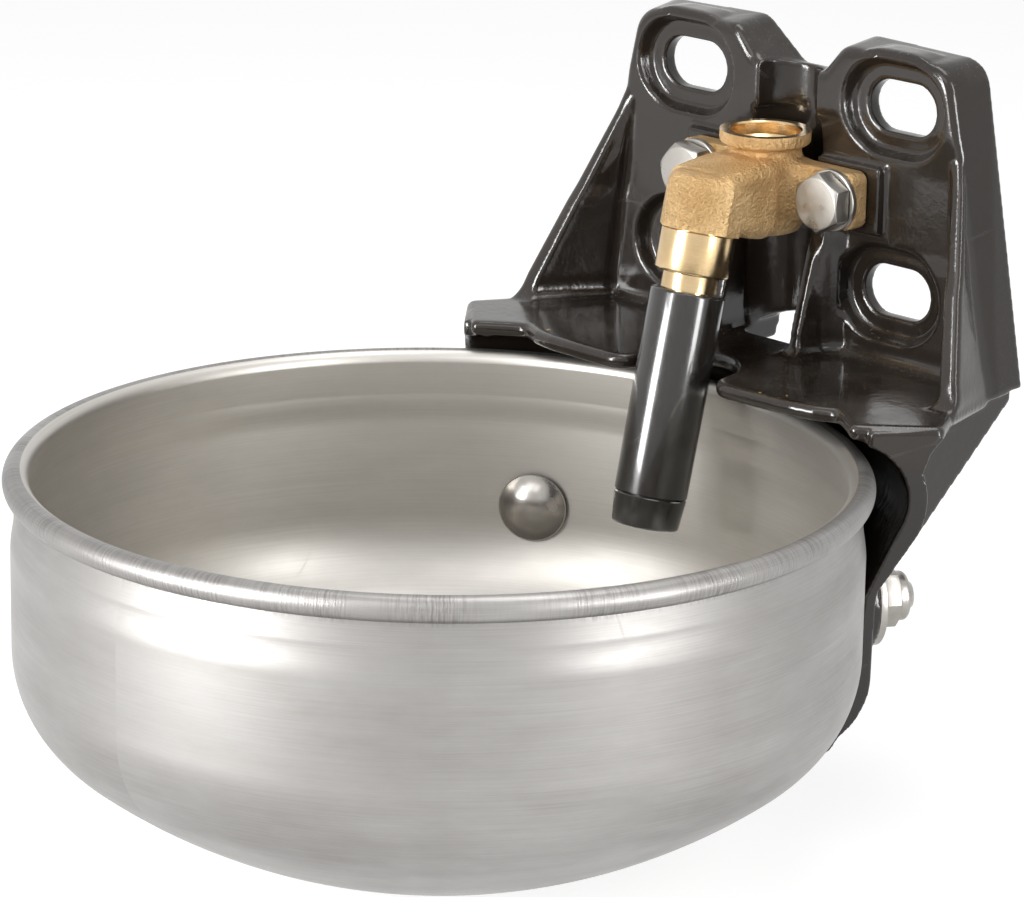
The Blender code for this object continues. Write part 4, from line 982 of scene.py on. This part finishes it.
def gussetRing(side, z):
    # One level of a gusset, from its root on the plate round its nose to the plate's side.
    front, nose, sink = bracket["front"], bracket["nose"], bracket["gussetSink"]
    gap, back = bracket["skinGap"], bracket["gussetBack"]
    drop = (bracket["gussetTop"] - z) / (bracket["gussetTop"] - bracket["shelfTop"])
    flare = coveWidth(z - bracket["shelfTop"])
    reach = between(front - bracket["gussetStart"], bracket["gussetFront"], drop)
    inner = between(bracket["innerTop"], bracket["innerFoot"], drop)
    outer = between(bracket["outerTop"], bracket["outerFoot"], drop)
    root = between(bracket["rootTop"], bracket["rootFoot"], drop) - flare
    skin = sideX(z, front) - gap
    depth = min(nose, (reach - front + sink) * 0.6)
    crease = min(bracket["crease"], reach - depth - gap)
    rootReach = min(bracket["rootReach"], (reach - front) * 0.5 + 2.0 * gap)
    points = [(root - rootReach, -front + sink)]
    for turn in range(0, 91, 18):
        angle = radians(turn)
        points.append((root - rootReach * (1.0 - sin(angle)), -front - rootReach * (1.0 - cos(angle)) + gap))
    for startX, turn in ((inner + nose - flare, 180.0), (outer - nose, 270.0)):
        for x, y in arcPoints((0.0, 0.0), 1.0, turn, turn + 90.0, 5):
            points.append((startX + nose * x, -reach - flare * 0.6 + depth + depth * y))
    points += [(skin, -crease), (skin, -front + 0.0012), (skin - 0.0012, back), (skin - 0.005, back)]
    return [(side * x, y, z) for x, y in points]


def footLevels(top, foot):
    # Heights of a loft that ends in the cove on the shelf.
    shelf, cove = bracket["shelfTop"], bracket["cove"]
    levels = [top + (shelf + cove - top) * step / 6.0 for step in range(7)]
    return levels + [shelf + cove * share for share in (0.7, 0.45, 0.25, 0.1, 0.0)] + [foot]


def makeGusset(side):
    levels = footLevels(bracket["gussetTop"], bracket["shelfTop"] - bracket["shelfThick"] / 2.0)
    return loftPiece("Gusset", [gussetRing(side, z) for z in levels])


def makeRib(side):
    front, start, back = bracket["front"], bracket["ribX"], bracket["ribBack"]
    face, root, ease = bracket["ribFace"], bracket["ribRoot"], bracket["ribEase"]
    padFace = front + bracket["padHeight"]
    top = -bracket["padZ"] + bracket["ribRise"]
    rings = []
    for z in footLevels(top, bracket["shelfTop"] - bracket["sink"]):
        share = (top - z) / (top - bracket["shelfTop"])
        flare = coveWidth(z - bracket["shelfTop"])
        reach = between(padFace, bracket["ribFoot"], share) + flare
        bend = start + face + (root - face) * bracket["ribBend"] + flare
        ring = [(start - flare, back), (start - flare, -reach), (start + face + flare, -reach),
                (bend, -front - 0.006), (start + root + flare, -front - 0.002),
                (start + root + ease + flare, -front + bracket["skinGap"]), (start + root + ease, back)]
        rings.append([(side * x, y, z) for x, y in ring])
    return loftPiece("Rib", rings)


def onRadius(radius, turn):
    return radius * sin(radians(turn)), bowlY + radius * cos(radians(turn))


def makeShelf():
    notch, centre, front = bracket["notchRadius"], bracket["notchY"], bracket["shelfFront"]
    corner, brace = centre - front, bracket["braceX"]
    right = arcPoints((0.0, centre), notch, 90.0, 0.0, 20)
    right += arcPoints((notch + corner, centre), corner, 180.0, 270.0, 12)[1:]
    right += bracket["bow"] + [onRadius(bracket["noseRadius"], turn) for turn in bracket["noseTurns"]]
    right += [onRadius(bracket["tailRadius"], bracket["half"]),
              (bracket["outerFoot"] - 0.0005, -bracket["gussetFront"]), (bracket["footX"], -bracket["crease"]),
              (brace, bracket["shelfBack"]), (brace, -0.001)]
    outline = right + [(-x, y) for x, y in reversed(right) if x > 0.0001]
    shelf = prismPiece("Shelf", outline, bracket["shelfTop"] - bracket["shelfThick"], bracket["shelfTop"])
    return bevelEdges(shelf, bracket["shelfRound"], 3, 40.0)


def makePlateCove():
    # Concave fillet between the plate's face and the shelf.
    radius, sink = bracket["cove"], bracket["sink"]
    y, z = -bracket["front"], bracket["shelfTop"]
    back = y + 0.003
    outline = [(back, z + radius)]
    for turn in range(0, 91, 15):
        outline.append((y - radius * (1.0 - cos(radians(turn))), z + radius * (1.0 - sin(radians(turn)))))
    outline += [(y - radius, z - sink), (back, z - sink)]
    rings = [[(x, py, pz) for py, pz in outline] for x in (-bracket["coveX"], bracket["coveX"])]
    return loftPiece("Cove", rings)


def curlLine(radius, start, steps, tailRadius, tailHeight):
    centre = (bracket["curlRadius"], bracket["curlHeight"])
    return arcPoints(centre, radius, start, bracket["curlEnd"], steps) + [(tailRadius, tailHeight)]


def strapInner(offset):
    # The bowl's own profile, one gap out.
    gap, turn = bracket["gap"] + offset, bowlArcs["cornerTurn"]
    line = arcPoints(bowlArcs["corner"], bowl["corner"] + gap, 0.0, turn, 18)
    return line + arcPoints(bowlArcs["dome"], bowl["dome"] + gap, turn, turn - bracket["strapTurn"], 4)[1:]


def makeSaddle():
    # Curl and strap, turned about the bowl's axis. The bare steps ease their edges and run into the shelf.
    tail, skirt, strapCorner = bracket["tailRadius"], bracket["skirt"], bracket["strapCorner"]
    inside = bowl["wall"] + bracket["gap"]
    outside = inside + bracket["strapWall"]
    inner = curlLine(bracket["curlInner"], bracket["curlStart"], 24, inside + 0.0006,
                     cornerHeight + bracket["strapTop"])
    inner += strapInner(0.0)
    low = cornerHeight - bracket["strapEnd"]
    end = outside - bracket["strapEndThick"]
    centre = (outside - strapCorner, cornerHeight - (bowl["corner"] - strapCorner) * 1.12)
    outer = [(end - 0.003, low), (end, low + 0.002)]
    outer += arcPoints(centre, strapCorner, -50.0, 0.0, 16) + [(outside + 0.0003, cornerHeight + 0.010)]
    outer += list(reversed(curlLine(bracket["curlInner"] + bracket["curlWall"], bracket["curlOutStart"], 16,
                                    outside + 0.0012, cornerHeight + 0.014)))
    top = bracket["shelfTop"] - rimZ
    outer += [(skirt, top - 0.012), (skirt + 0.0012, top - 0.0085), (tail, top - 0.0036),
              (tail - 0.0015, top - 0.0012), (bowl["wall"] + 0.0014, top - 0.0015)]
    ring = turnedPiece("Saddle", list(reversed(inner + outer)), 300, atRim)
    reach = tail + 0.02
    wedge = [(0.0, 0.0)] + [(reach * sin(radians(turn)), reach * cos(radians(turn)))
                            for turn in (-bracket["half"], -20.0, 0.0, 20.0, bracket["half"])]
    sector = prismPiece("Sector", wedge, -bowl["depth"] - 0.01, top + 0.01, atRim)
    return combineSolids(ring, within(sector))


def makeClearance():
    # Room for the bowl, cut before the saddle is added.
    skin = bracket["skinOff"]
    radius = bracket["curlInner"] + skin
    top = bracket["shelfTop"] - bracket["shelfThick"] - rimZ - 0.0006
    start = asin((top - bracket["curlHeight"]) / radius) * 180.0 / pi
    line = curlLine(radius, start, 20, bowl["wall"] + skin, cornerHeight + bracket["strapTop"]) + strapInner(skin)
    deep = -bowl["depth"] - 0.03
    profile = [(0.0, top)] + line + [(bowl["wall"] * 0.6, deep), (0.0, deep)]
    return turnedPiece("Clearance", profile, 290, atRim, closed=False)


def makeBrace(side):
    x, low, foot = bracket["braceX"], bracket["braceLow"], bracket["footZ"]
    top = bracket["shelfTop"] - bracket["sink"]
    front = bowlY + sqrt(bowl["wall"] ** 2 - x ** 2)
    outline = [(-0.001, foot + 0.004), (-0.001, foot - 0.0045), (bracket["braceY"], low), (front, low), (front, top),
               (bracket["braceTop"], top)]
    rings = [[(side * across, y, z) for y, z in outline] for across in (x - bracket["braceThick"], x)]
    return loftPiece("Brace", rings)


def slotPlaces():
    return [(x, z) for x in (-bracket["slotX"], bracket["slotX"]) for z in (-bracket["slotZ"], bracket["slotZ"])]


def makeBacking(x, z):
    # Solid metal behind a slot's seat.
    front = bracket["front"]
    outline = stadiumOutline(*slotSizes, bracket["seatMargin"] + bracket["backingMargin"])
    return prismPiece("Backing", outline, front - bracket["seatDepth"] - bracket["slotWall"], front - 0.001,
                      placedFront(x, z))


def makeSeat(x, z):
    front, surface = bracket["front"], bracket["seatMargin"]
    levels = ((bracket["seatFloorMargin"], front - bracket["seatDepth"]), (surface, front),
              (surface + 0.0008, front + 0.001))
    rings = [[placedFront(x, z) @ Vector((px, py, height)) for px, py in stadiumOutline(*slotSizes, margin)]
             for margin, height in levels]
    return loftPiece("Seat", rings)


def makeWindow():
    # Opening at the foot of the pipe groove, with a bowed top.
    half, top, rise = bracket["windowX"], bracket["windowTop"], bracket["windowRise"]
    low, sideTop = bracket["footZ"] - bracket["windowDrop"], top - rise
    radius = (half ** 2 + rise ** 2) / (2.0 * rise)
    spread = asin(half / radius) * 180.0 / pi
    crown = arcPoints((0.0, top - radius), radius, 90.0 - spread, 90.0 + spread, 16)
    outline = [(-half, low), (half, low), (half, sideTop)] + crown[1:-1] + [(-half, sideTop)]
    return prismPiece("Window", outline, -0.003, bracket["windowDeep"], facingFront)


def eased(value):
    share = min(max(value, 0.0), 1.0)
    return share * share * (3.0 - 2.0 * share)


def thickenEars(item):
    # The casting grows thicker towards its ears, and a little round the lower slots.
    start = bracket["thickFrom"]
    for vertex in item.data.vertices:
        y, z = vertex.co.y, vertex.co.z
        if y > -start:
            continue
        ears = bracket["earThick"] * eased((z - bracket["earFrom"]) / bracket["earOver"])
        foot = (bracket["footThick"] * eased((bracket["footFrom"] - z) / bracket["footOver"])
                * eased((z - bracket["footTo"]) / bracket["footToOver"]))
        vertex.co.y = y - (ears + foot) * eased((-y - start) / bracket["thickOver"])
    item.data.update()


def makeBracket():
    front, padX, padZ, padHeight = bracket["front"], bracket["padX"], bracket["padZ"], bracket["padHeight"]
    backX, step, square = bracket["grooveBackX"], bracket["grooveStep"], bracket["square"]
    boss, bossFace = bracket["bossRadius"], bracket["bossFace"]
    steps = cut(makeHollow())
    for x, z in slotPlaces():
        steps += union(makeBacking(x, z))
    steps += union(boxPiece("Groove back", (-backX, -front + 0.001, bracket["grooveBackLow"]),
                            (backX, 0.0, bracket["valleyZ"] - 0.003)),
                   boxPiece("Pad", (-padX, -front - padHeight, -padZ), (padX, -front + 0.002, padZ)),
                   makeShelf(), makePlateCove())
    for side in (-1, 1):
        steps += union(makeGusset(side), makeRib(side), makeBrace(side),
                       rodPiece("Boss", boss, bowl["wall"] - 0.004, bossFace + 0.001, atCarriage(side)))
    steps += cut(makeClearance()) + union(makeSaddle())
    steps += cut(rodPiece("Groove", bracket["grooveRadius"], bracket["shelfTop"] + 0.0006, step,
                          Matrix.Translation((0.0, bracket["grooveY"], 0.0))),
                 rodPiece("Top groove", bracket["topGrooveRadius"], step - 0.001, bracket["grooveTop"],
                          Matrix.Translation((0.0, bracket["topGrooveY"], 0.0))),
                 makeWindow())
    for x, z in slotPlaces():
        steps += cut(makeSeat(x, z),
                     prismPiece("Slot", stadiumOutline(*slotSizes), -0.002, front + 0.004, placedFront(x, z)))
    for side in (-1, 1):
        steps += cut(rodPiece("Valve hole", bracket["screw"], 0.002, front + padHeight + 0.003,
                              placedFront(side * bracket["boltX"], 0.0)),
                     rodPiece("Spot face", boss + 0.001, bossFace, bossFace + 0.02, atCarriage(side)),
                     boxPiece("Square hole", (-square, -square, bowl["wall"] - 0.005),
                              (square, square, bowl["wall"] + 0.015), atCarriage(side)))
    item = combineSolids(makePlate(), steps)
    soften(item, bracket["voxel"], bracket["rounds"])
    thickenEars(item)
    return rideOn(item, "fixed", "bracket")


makeBracket()
print("Bracket made")


# Valve body

valve = {
    "padFace": 0.0185, "flange": 0.0070, "flangeX": 0.0368, "flangeZ": 0.0093, "flangeCorner": 0.0034,
    "boltX": 0.0288, "hole": 0.0055,
    # Inlet ring, neck and barrel.
    "inletY": -0.0262, "top": 0.0182, "ring": 0.0147, "band": 0.0042, "neck": 0.0117, "barrel": 0.0134,
    "low": -0.0152, "spare": 0.0015, "edge": 0.0006,
    "bore": 0.0096, "mouth": 0.0119, "boreDeep": 0.0155, "well": 0.0061, "passage": 0.0042, "passageEnd": 0.0557,
    "passageLift": 0.0007,
    # Web behind the arm: x, reach from the wall and half height.
    "webBack": -0.0190, "webEase": 0.55,
    "web": [(-0.0235, 0.0250, 0.0088), (-0.0150, 0.0290, 0.0092), (-0.0100, 0.0345, 0.0102),
            (0.0100, 0.0345, 0.0102), (0.0150, 0.0290, 0.0092), (0.0235, 0.0250, 0.0088)],
    # Arm: y, then what each ring adds to the underside, top and half width, and its shoulder.
    "armTop": 0.0104, "armHalf": 0.0139, "armLow": -0.0150, "crown": 0.0006,
    "arm": [(-0.0302, 0.0006, 0.0010, -0.0022, 0.0046), (-0.0385, 0.0006, 0.0006, -0.0004, 0.0046),
            (-0.0455, 0.0020, 0.0, 0.0, 0.0044), (-0.0560, 0.0060, -0.0012, -0.0002, 0.0044)],
    # Eight-sided elbow and the room inside it.
    "flat": 0.0033, "reach": 0.0140, "stubTop": 0.0322, "stubLow": 0.0139, "shoulder": 0.0040,
    "chamber": 0.0101, "chamberTop": 0.0298, "springRoom": 0.0076, "springTop": 0.0311, "ringFaceY": 0.0170,
    "cutter": 0.03, "voxel": 0.00048, "rounds": 9}


def octagon(height, inset):
    reach = valve["reach"] - inset
    flat = min(valve["flat"] + inset * 0.2, reach)
    return [atOutlet @ Vector((x, y, height)) for x, y in (
        (flat, -reach), (reach, -flat), (reach, flat), (flat, reach),
        (-flat, reach), (-reach, flat), (-reach, -flat), (-flat, -reach))]


def armRing(y, low, top, half, shoulder):
    right = arcPoints((half - shoulder, top - shoulder), shoulder, 90.0, 0.0, 6)
    right += arcPoints((half - shoulder, low + shoulder), shoulder, 0.0, -90.0, 6)
    line = [(0.0, top + valve["crown"])] + right + [(0.0, low)] + [(-x, z) for x, z in reversed(right)]
    return [(x, y, z) for x, z in line]


def webRing(x, front, half):
    ease, back = half * valve["webEase"], valve["webBack"]
    line = arcPoints((-front + ease, half - ease), ease, 180.0, 90.0, 5) + [(back, half), (back, -half)]
    line += arcPoints((-front + ease, -half + ease), ease, 270.0, 180.0, 5)
    return [(x, y, z) for y, z in line]


def makeInletCasting(inlet):
    top, ring, neck, barrel = valve["top"], valve["ring"], valve["neck"], valve["barrel"]
    low, edge, over = valve["low"], valve["edge"], valve["top"] + valve["spare"]
    under = top - valve["band"]
    profile = [(0.0, over), (ring, over), (ring, under + edge), (ring - edge, under), (neck + edge, under - edge),
               (neck, under - 0.0020), (neck + 0.0003, under - 0.0034), (barrel, under - 0.0066),
               (barrel, low + 0.004), (barrel - 0.0015, low + 0.0012), (barrel - 0.005, low), (0.0, low)]
    return turnedPiece("valve_casting", profile, 96, inlet, castBrassMaterial, closed=False)


def makeFlange():
    corner, face = valve["flangeCorner"], valve["padFace"]
    x, z = valve["flangeX"] - corner, valve["flangeZ"] - corner
    outline = []
    for across, along, turn in ((x, z, 0.0), (-x, z, 90.0), (-x, -z, 180.0), (x, -z, 270.0)):
        outline += arcPoints((across, along), corner, turn, turn + 90.0, 6)
    return prismPiece("Flange", outline, face, face + valve["flange"], facingFront)


def makeBore(inlet):
    # The inlet's bore, with a wider start and a small chamfer.
    top, bore, mouth, deep = valve["top"], valve["bore"], valve["mouth"], valve["top"] - valve["boreDeep"]
    profile = [(0.0, deep), (bore, deep), (bore, top - 0.0056), (mouth - 0.0007, top - 0.0042),
               (mouth - 0.0005, top - 0.0005), (mouth, top), (mouth + 0.002, top + 0.002), (0.0, top + 0.002)]
    return turnedPiece("Bore", profile, 96, inlet, closed=False)


def makeValveBody():
    inlet = Matrix.Translation((0.0, valve["inletY"], 0.0))
    item = makeInletCasting(inlet)
    flange = makeFlange()
    web = loftPiece("Web", [webRing(*ring) for ring in valve["web"]])
    arm = loftPiece("Arm", [armRing(y, valve["armLow"] + low, valve["armTop"] + high, valve["armHalf"] + wide, shoulder)
                            for y, low, high, wide, shoulder in valve["arm"]])
    top, low = valve["stubTop"], valve["stubLow"]
    stub = loftPiece("Stub", [octagon(low - 0.002, 0.0), octagon(top - valve["shoulder"], 0.0),
                              octagon(top - 0.0012, 0.0022), octagon(top, 0.0052)])
    combineSolids(item, union(flange, web, arm, stub))
    soften(item, valve["voxel"], valve["rounds"])
    reach, inletY, face = valve["cutter"], valve["inletY"], valve["top"]
    along = Matrix.Translation((0.0, 0.0, valve["passageLift"])) @ facingFront
    steps = cut(boxPiece("Top face", (-reach, inletY - reach, face), (reach, inletY + reach, face + reach)),
                makeBore(inlet), rodPiece("Well", valve["well"], -0.004, 0.004, inlet),
                rodPiece("Passage", valve["passage"], -inletY, valve["passageEnd"], along, 48),
                boxPiece("Ring face", (-reach, -reach, -reach), (reach, valve["ringFaceY"], low), atOutlet),
                rodPiece("Chamber", valve["chamber"], low - 0.002, valve["chamberTop"], atOutlet),
                rodPiece("Spring room", valve["springRoom"], valve["chamberTop"] - 0.001, valve["springTop"], atOutlet))
    for side in (-1, 1):
        steps += cut(rodPiece("Flange hole", valve["hole"], valve["padFace"] - 0.003,
                              valve["padFace"] + valve["flange"] + 0.003, placedFront(side * valve["boltX"], 0.0)))
    for _, cutter in steps:
        cutter.data.materials.append(turnedBrassMaterial)
    machineSolid(item, steps)
    return rideOn(item, "fixed", "valve_body")


makeValveBody()
print("Valve body made")


# Outlet ring and moving tube, measured from the ring's lower face along its own axis

outlet = {
    "ring": 0.0120, "length": 0.0136, "hole": 0.0099, "lip": 0.0019, "spigot": 0.0098, "spigotTop": 0.020,
    "seat": 0.0046, "web": 0.014, "ballCentre": 0.006, "ball": 0.0104, "ballTop": 0.0098, "ballLow": 0.0011,
    "slip": 0.0003, "foot": 0.0083, "edge": 0.0003, "spigotEdge": 0.0006, "seatTop": 0.0015, "footTop": 0.0013}
tube = {
    "collar": 0.0090, "bore": 0.0062, "socket": 0.016, "top": -0.0057, "length": 0.0763, "radius": 0.0120,
    "seam": 0.0117, "tip": 0.01065, "tipLength": 0.0105, "spigot": 0.0096, "spigotLength": 0.006, "sleeve": 0.0079,
    "seamWidth": 0.00035, "seamDepth": 0.00030, "gap": 0.0003, "edge": 0.0009, "straight": 0.030}
turnSegments = 128


def makeOutletRing():
    ball, lip, hole, centre = outlet["ball"] + outlet["slip"], outlet["lip"], outlet["hole"], outlet["ballCentre"]
    ring, length, edge, seat, foot = (outlet[name] for name in ("ring", "length", "edge", "seat", "foot"))
    spigot, spigotTop, spigotEdge = outlet["spigot"], outlet["spigotTop"], outlet["spigotEdge"]
    cup = []
    for step in range(13):
        height = lip + (centre - lip) * step / 12.0
        cup.append((max(sqrt(ball ** 2 - (centre - height) ** 2), hole), height))
    profile = [(seat, spigotTop), (spigot - spigotEdge, spigotTop), (spigot, spigotTop - spigotEdge),
               (spigot, length), (ring - edge, length), (ring, length - edge),
               (ring, 0.0009), (ring - 0.0002, 0.0004), (ring - 0.0007, 0.0), (hole, 0.0)]
    profile += cup + [(ball, length - outlet["seatTop"]), (foot, length - outlet["footTop"]),
                      (foot, outlet["web"]), (seat, outlet["web"])]
    item = turnedPiece("machined_ring", profile, turnSegments, atOutlet, turnedBrassMaterial)
    return rideOn(sharpen(item), "fixed", "outlet_ring")


def makeCollar():
    ballTop, collar, sleeve = outlet["ballTop"], tube["collar"], tube["sleeve"] - tube["gap"]
    step, low = tube["top"] + tube["gap"], tube["top"] - tube["socket"]
    profile = [(tube["bore"], ballTop)]
    for index in range(25):
        height = ballTop + (outlet["ballLow"] - ballTop) * index / 24.0
        profile.append((sqrt(outlet["ball"] ** 2 - (height - outlet["ballCentre"]) ** 2), height))
    profile += [(collar + 0.0001, 0.0007), (collar, 0.0), (collar, step), (sleeve, step), (sleeve, low),
                (tube["bore"], low)]
    item = turnedPiece("ball_collar", profile, turnSegments, atOutlet, turnedBrassMaterial)
    return rideOn(sharpen(item), "tube", "tube_collar")


def makeTube():
    top, radius, edge, sleeve, seam = (tube[name] for name in ("top", "radius", "edge", "sleeve", "seam"))
    end = top - tube["length"] + tube["tipLength"]
    pocket, pocketTop = tube["spigot"] + tube["gap"], end + tube["spigotLength"] + tube["gap"]
    profile = [(sleeve, top), (radius - 0.0012, top)]
    profile += arcPoints((radius - edge, top - edge), edge, 90.0, 0.0, 6)
    profile += [(radius, top - tube["straight"]), (seam + 0.00005, end + tube["seamWidth"]),
                (seam - tube["seamDepth"], end + 0.00002), (pocket, end), (pocket, pocketTop), (sleeve, pocketTop)]
    item = turnedPiece("tube_sleeve", profile, turnSegments, atOutlet, plasticMaterial)
    return rideOn(sharpen(item, 40.0), "tube", "push_tube")


def makeTip():
    sleeve, spigot, seam, tip, edge = (tube[name] for name in ("sleeve", "spigot", "seam", "tip", "edge"))
    end = tube["top"] - tube["length"]
    top = end + tube["tipLength"] - tube["gap"]
    spigotTop = top + tube["spigotLength"]
    profile = [(sleeve, spigotTop), (spigot, spigotTop), (spigot, top), (seam - tube["seamDepth"], top),
               (seam, top - tube["seamWidth"]), (seam - 0.0002, top - 0.002), (tip + 0.0002, end + 0.0012)]
    profile += arcPoints((tip - 0.0008, end + edge), edge, 0.0, -90.0, 6) + [(sleeve, end)]
    item = turnedPiece("tube_mouth", profile, turnSegments, atOutlet, plasticMaterial)
    return rideOn(sharpen(item, 40.0), "tube", "tube_tip")


makeOutletRing()
makeCollar()
makeTube()
makeTip()
print("Outlet ring and tube made")


# Fasteners

fasteners = {
    "flats": 0.017, "screw": 0.005, "gap": 0.0003, "headHeight": 0.0064, "smallWasher": 0.010, "smallThick": 0.0020,
    "thinNut": 0.0080, "plateBack": 0.0095, "turns": {-1: 50.0, 1: 30.0}, "pitch": 0.0015, "thread": 0.00045,
    "cup": 0.0115, "cupHeight": 0.0052, "cupEdge": 0.0004, "square": 0.0050, "seal": 0.011, "sealThick": 0.0010,
    "bigWasher": 0.015, "bigThick": 0.0025, "nut": 0.010, "nutHex": 0.0066, "nutCollar": 0.0078, "collarRound": 0.0016,
    "pocket": 0.0070, "insert": 0.0067, "insertHeight": 0.0022, "screwEnd": 0.0018, "boltEnd": 0.0008,
    "faceShare": 0.96, "faceAngle": 30.0, "segments": 96}
hand = {-1: "left", 1: "right"}
flats, screw, gap, segments = (fasteners[name] for name in ("flats", "screw", "gap", "segments"))
sealBack = bowl["wall"] - bowl["sheet"] - gap
headBack = sealBack - fasteners["sealThick"] - gap
washerFace = bracket["bossFace"] + gap
nutFace = washerFace + fasteners["bigThick"] + gap


def hexagonPrism(name, low, high, matrix, turn):
    corner = flats / sqrt(3.0)
    outline = [(corner * cos(radians(60.0 * index) + turn), corner * sin(radians(60.0 * index) + turn))
               for index in range(6)]
    return prismPiece(name, outline, low, high, matrix, boltMaterial)


def facedCone(low, high, matrix, chamferLow):
    # Turned outline that takes the corners off a hexagon, always at the top.
    face, corner = flats / 2.0 * fasteners["faceShare"], flats / sqrt(3.0) + 0.0004
    drop = (corner - face) * tan(radians(fasteners["faceAngle"]))
    profile = [(0.0, low)]
    profile += [(face, low), (corner, low + drop)] if chamferLow else [(corner, low)]
    profile += [(corner, high - drop), (face, high), (0.0, high)]
    return turnedPiece("Cone", profile, segments, matrix, closed=False)


def roundedRing(inner, outer, low, high, ease):
    return ([(inner, low + ease), (inner + ease, low)] + arcPoints((outer - ease, low + ease), ease, -90.0, 0.0, 4)
            + arcPoints((outer - ease, high - ease), ease, 0.0, 90.0, 4) + [(inner + ease, high), (inner, high - ease)])


def threadLine(low, high):
    # Thread drawn as turned grooves.
    pitch, line = fasteners["pitch"], []
    for index in range(int((high - low) / pitch)):
        height = low + pitch * index
        line += [(screw, height + pitch * 0.2), (screw - fasteners["thread"], height + pitch * 0.55),
                 (screw, height + pitch * 0.9)]
    return line


def makeCupBolt(side):
    place, tip = atCarriage(side), nutFace + fasteners["nut"] + fasteners["screwEnd"]
    cup, height, edge, square = (fasteners[name] for name in ("cup", "cupHeight", "cupEdge", "square"))
    sphere = (cup ** 2 + height ** 2) / (2.0 * height)
    rise = asin(cup / sphere)
    profile = [(0.0, tip), (screw - 0.001, tip)] + list(reversed(threadLine(washerFace, tip - 0.001)))
    profile += [(screw, bowl["wall"] + 0.006), (screw, headBack), (cup - edge, headBack)]
    profile += arcPoints((cup - edge, headBack - edge), edge, 90.0, 0.0, 3)
    for step in range(1, 25):
        angle = rise * (1.0 - step / 24.0)
        profile.append((sphere * sin(angle), headBack - height + sphere * (1.0 - cos(angle))))
    profile[-1] = (0.0, headBack - height)
    item = turnedPiece("cup_bolt_" + hand[side], profile, segments, place, cupMaterial, closed=False)
    neck = boxPiece("Neck", (-square, -square, headBack - 0.0005), (square, square, bowl["wall"] + 0.0042), place)
    sharpen(combineSolids(item, union(neck)), 40.0)
    return rideOn(item, "fixed", "carriage_bolt_" + hand[side])


def makeSeal(side):
    profile = roundedRing(fasteners["square"] * sqrt(2.0) + gap, fasteners["seal"],
                          sealBack - fasteners["sealThick"], sealBack, 0.0003)
    item = turnedPiece("seal_" + hand[side], profile, segments, atCarriage(side), rubberMaterial)
    return rideOn(item, "fixed", "bowl_bolt_seal_" + hand[side])


def makeWasher(name, node, outer, low, thick, matrix):
    profile = roundedRing(screw + gap, outer, low, low + thick, 0.00035)
    item = turnedPiece(name, profile, segments, matrix, boltMaterial)
    return rideOn(sharpen(item, 50.0), "fixed", node)


def makeLockNut(side):
    place, collar, ease = atCarriage(side), fasteners["nutCollar"], fasteners["collarRound"]
    hexTop, top = nutFace + fasteners["nutHex"], nutFace + fasteners["nut"]
    item = hexagonPrism("nyloc_nut_" + hand[side], nutFace, hexTop, place, 0.0)
    profile = [(0.0, hexTop - 0.001), (collar, hexTop - 0.001), (collar, top - 0.0020)]
    profile += arcPoints((collar - ease, top - ease), ease, 0.0, 90.0, 8) + [(0.0, top)]
    steps = within(facedCone(nutFace, hexTop, place, True))
    steps += union(turnedPiece("Collar", profile, segments, place, closed=False))
    steps += cut(rodPiece("Bore", screw + gap, nutFace - 0.001, top + 0.001, place),
                 rodPiece("Pocket", fasteners["pocket"], top - fasteners["insertHeight"] - gap, top + 0.001, place))
    combineSolids(item, steps)
    bevelEdges(item, 0.00018, 2, 30.0)
    return rideOn(sharpen(item), "fixed", "lock_nut_" + hand[side])


def makeInsert(side):
    top = nutFace + fasteners["nut"]
    profile = roundedRing(screw + gap, fasteners["insert"], top - fasteners["insertHeight"], top - 0.0002, 0.0004)
    item = turnedPiece("nylon_insert_" + hand[side], profile, segments, atCarriage(side), nylonMaterial)
    return rideOn(item, "fixed", "lock_nut_insert_" + hand[side])


def makeValveBolt(side):
    # A hex bolt through the flange, with its washer and the nut behind the plate.
    place = placedFront(side * valve["boltX"], 0.0)
    washer = valve["padFace"] + valve["flange"] + gap
    low = washer + fasteners["smallThick"] + gap
    top = low + fasteners["headHeight"]
    nutTop = fasteners["plateBack"] - gap
    nutLow = nutTop - fasteners["thinNut"]
    end = nutLow - fasteners["boltEnd"]
    item = hexagonPrism("hex_bolt_" + hand[side], low, top, place, radians(fasteners["turns"][side]))
    shank = [(0.0, end), (screw - 0.0008, end)] + threadLine(end + fasteners["boltEnd"], nutTop)
    shank += [(screw, nutTop + 0.001), (screw, low + 0.001), (0.0, low + 0.001)]
    combineSolids(item, within(facedCone(low, top, place, False))
                  + union(turnedPiece("Shank", shank, 64, place, closed=False)))
    bevelEdges(item, 0.00022, 3, 28.0)
    rideOn(sharpen(item), "fixed", "valve_bolt_" + hand[side])
    makeWasher("bolt_washer_" + hand[side], "valve_washer_" + hand[side], fasteners["smallWasher"], washer,
               fasteners["smallThick"], place)
    nut = hexagonPrism("thin_nut_" + hand[side], nutLow, nutTop, place, 0.0)
    combineSolids(nut, within(facedCone(nutLow, nutTop, place, True))
                  + cut(rodPiece("Bore", screw + gap, nutTop - 0.010, nutTop + 0.001, place)))
    bevelEdges(nut, 0.00018, 2, 28.0)
    return rideOn(sharpen(nut), "fixed", "valve_nut_" + hand[side])


for side in (-1, 1):
    makeCupBolt(side)
    makeSeal(side)
    makeWasher("plate_washer_" + hand[side], "bowl_washer_" + hand[side], fasteners["bigWasher"], washerFace,
               fasteners["bigThick"], atCarriage(side))
    makeLockNut(side)
    makeInsert(side)
    makeValveBolt(side)
print("Fasteners made")
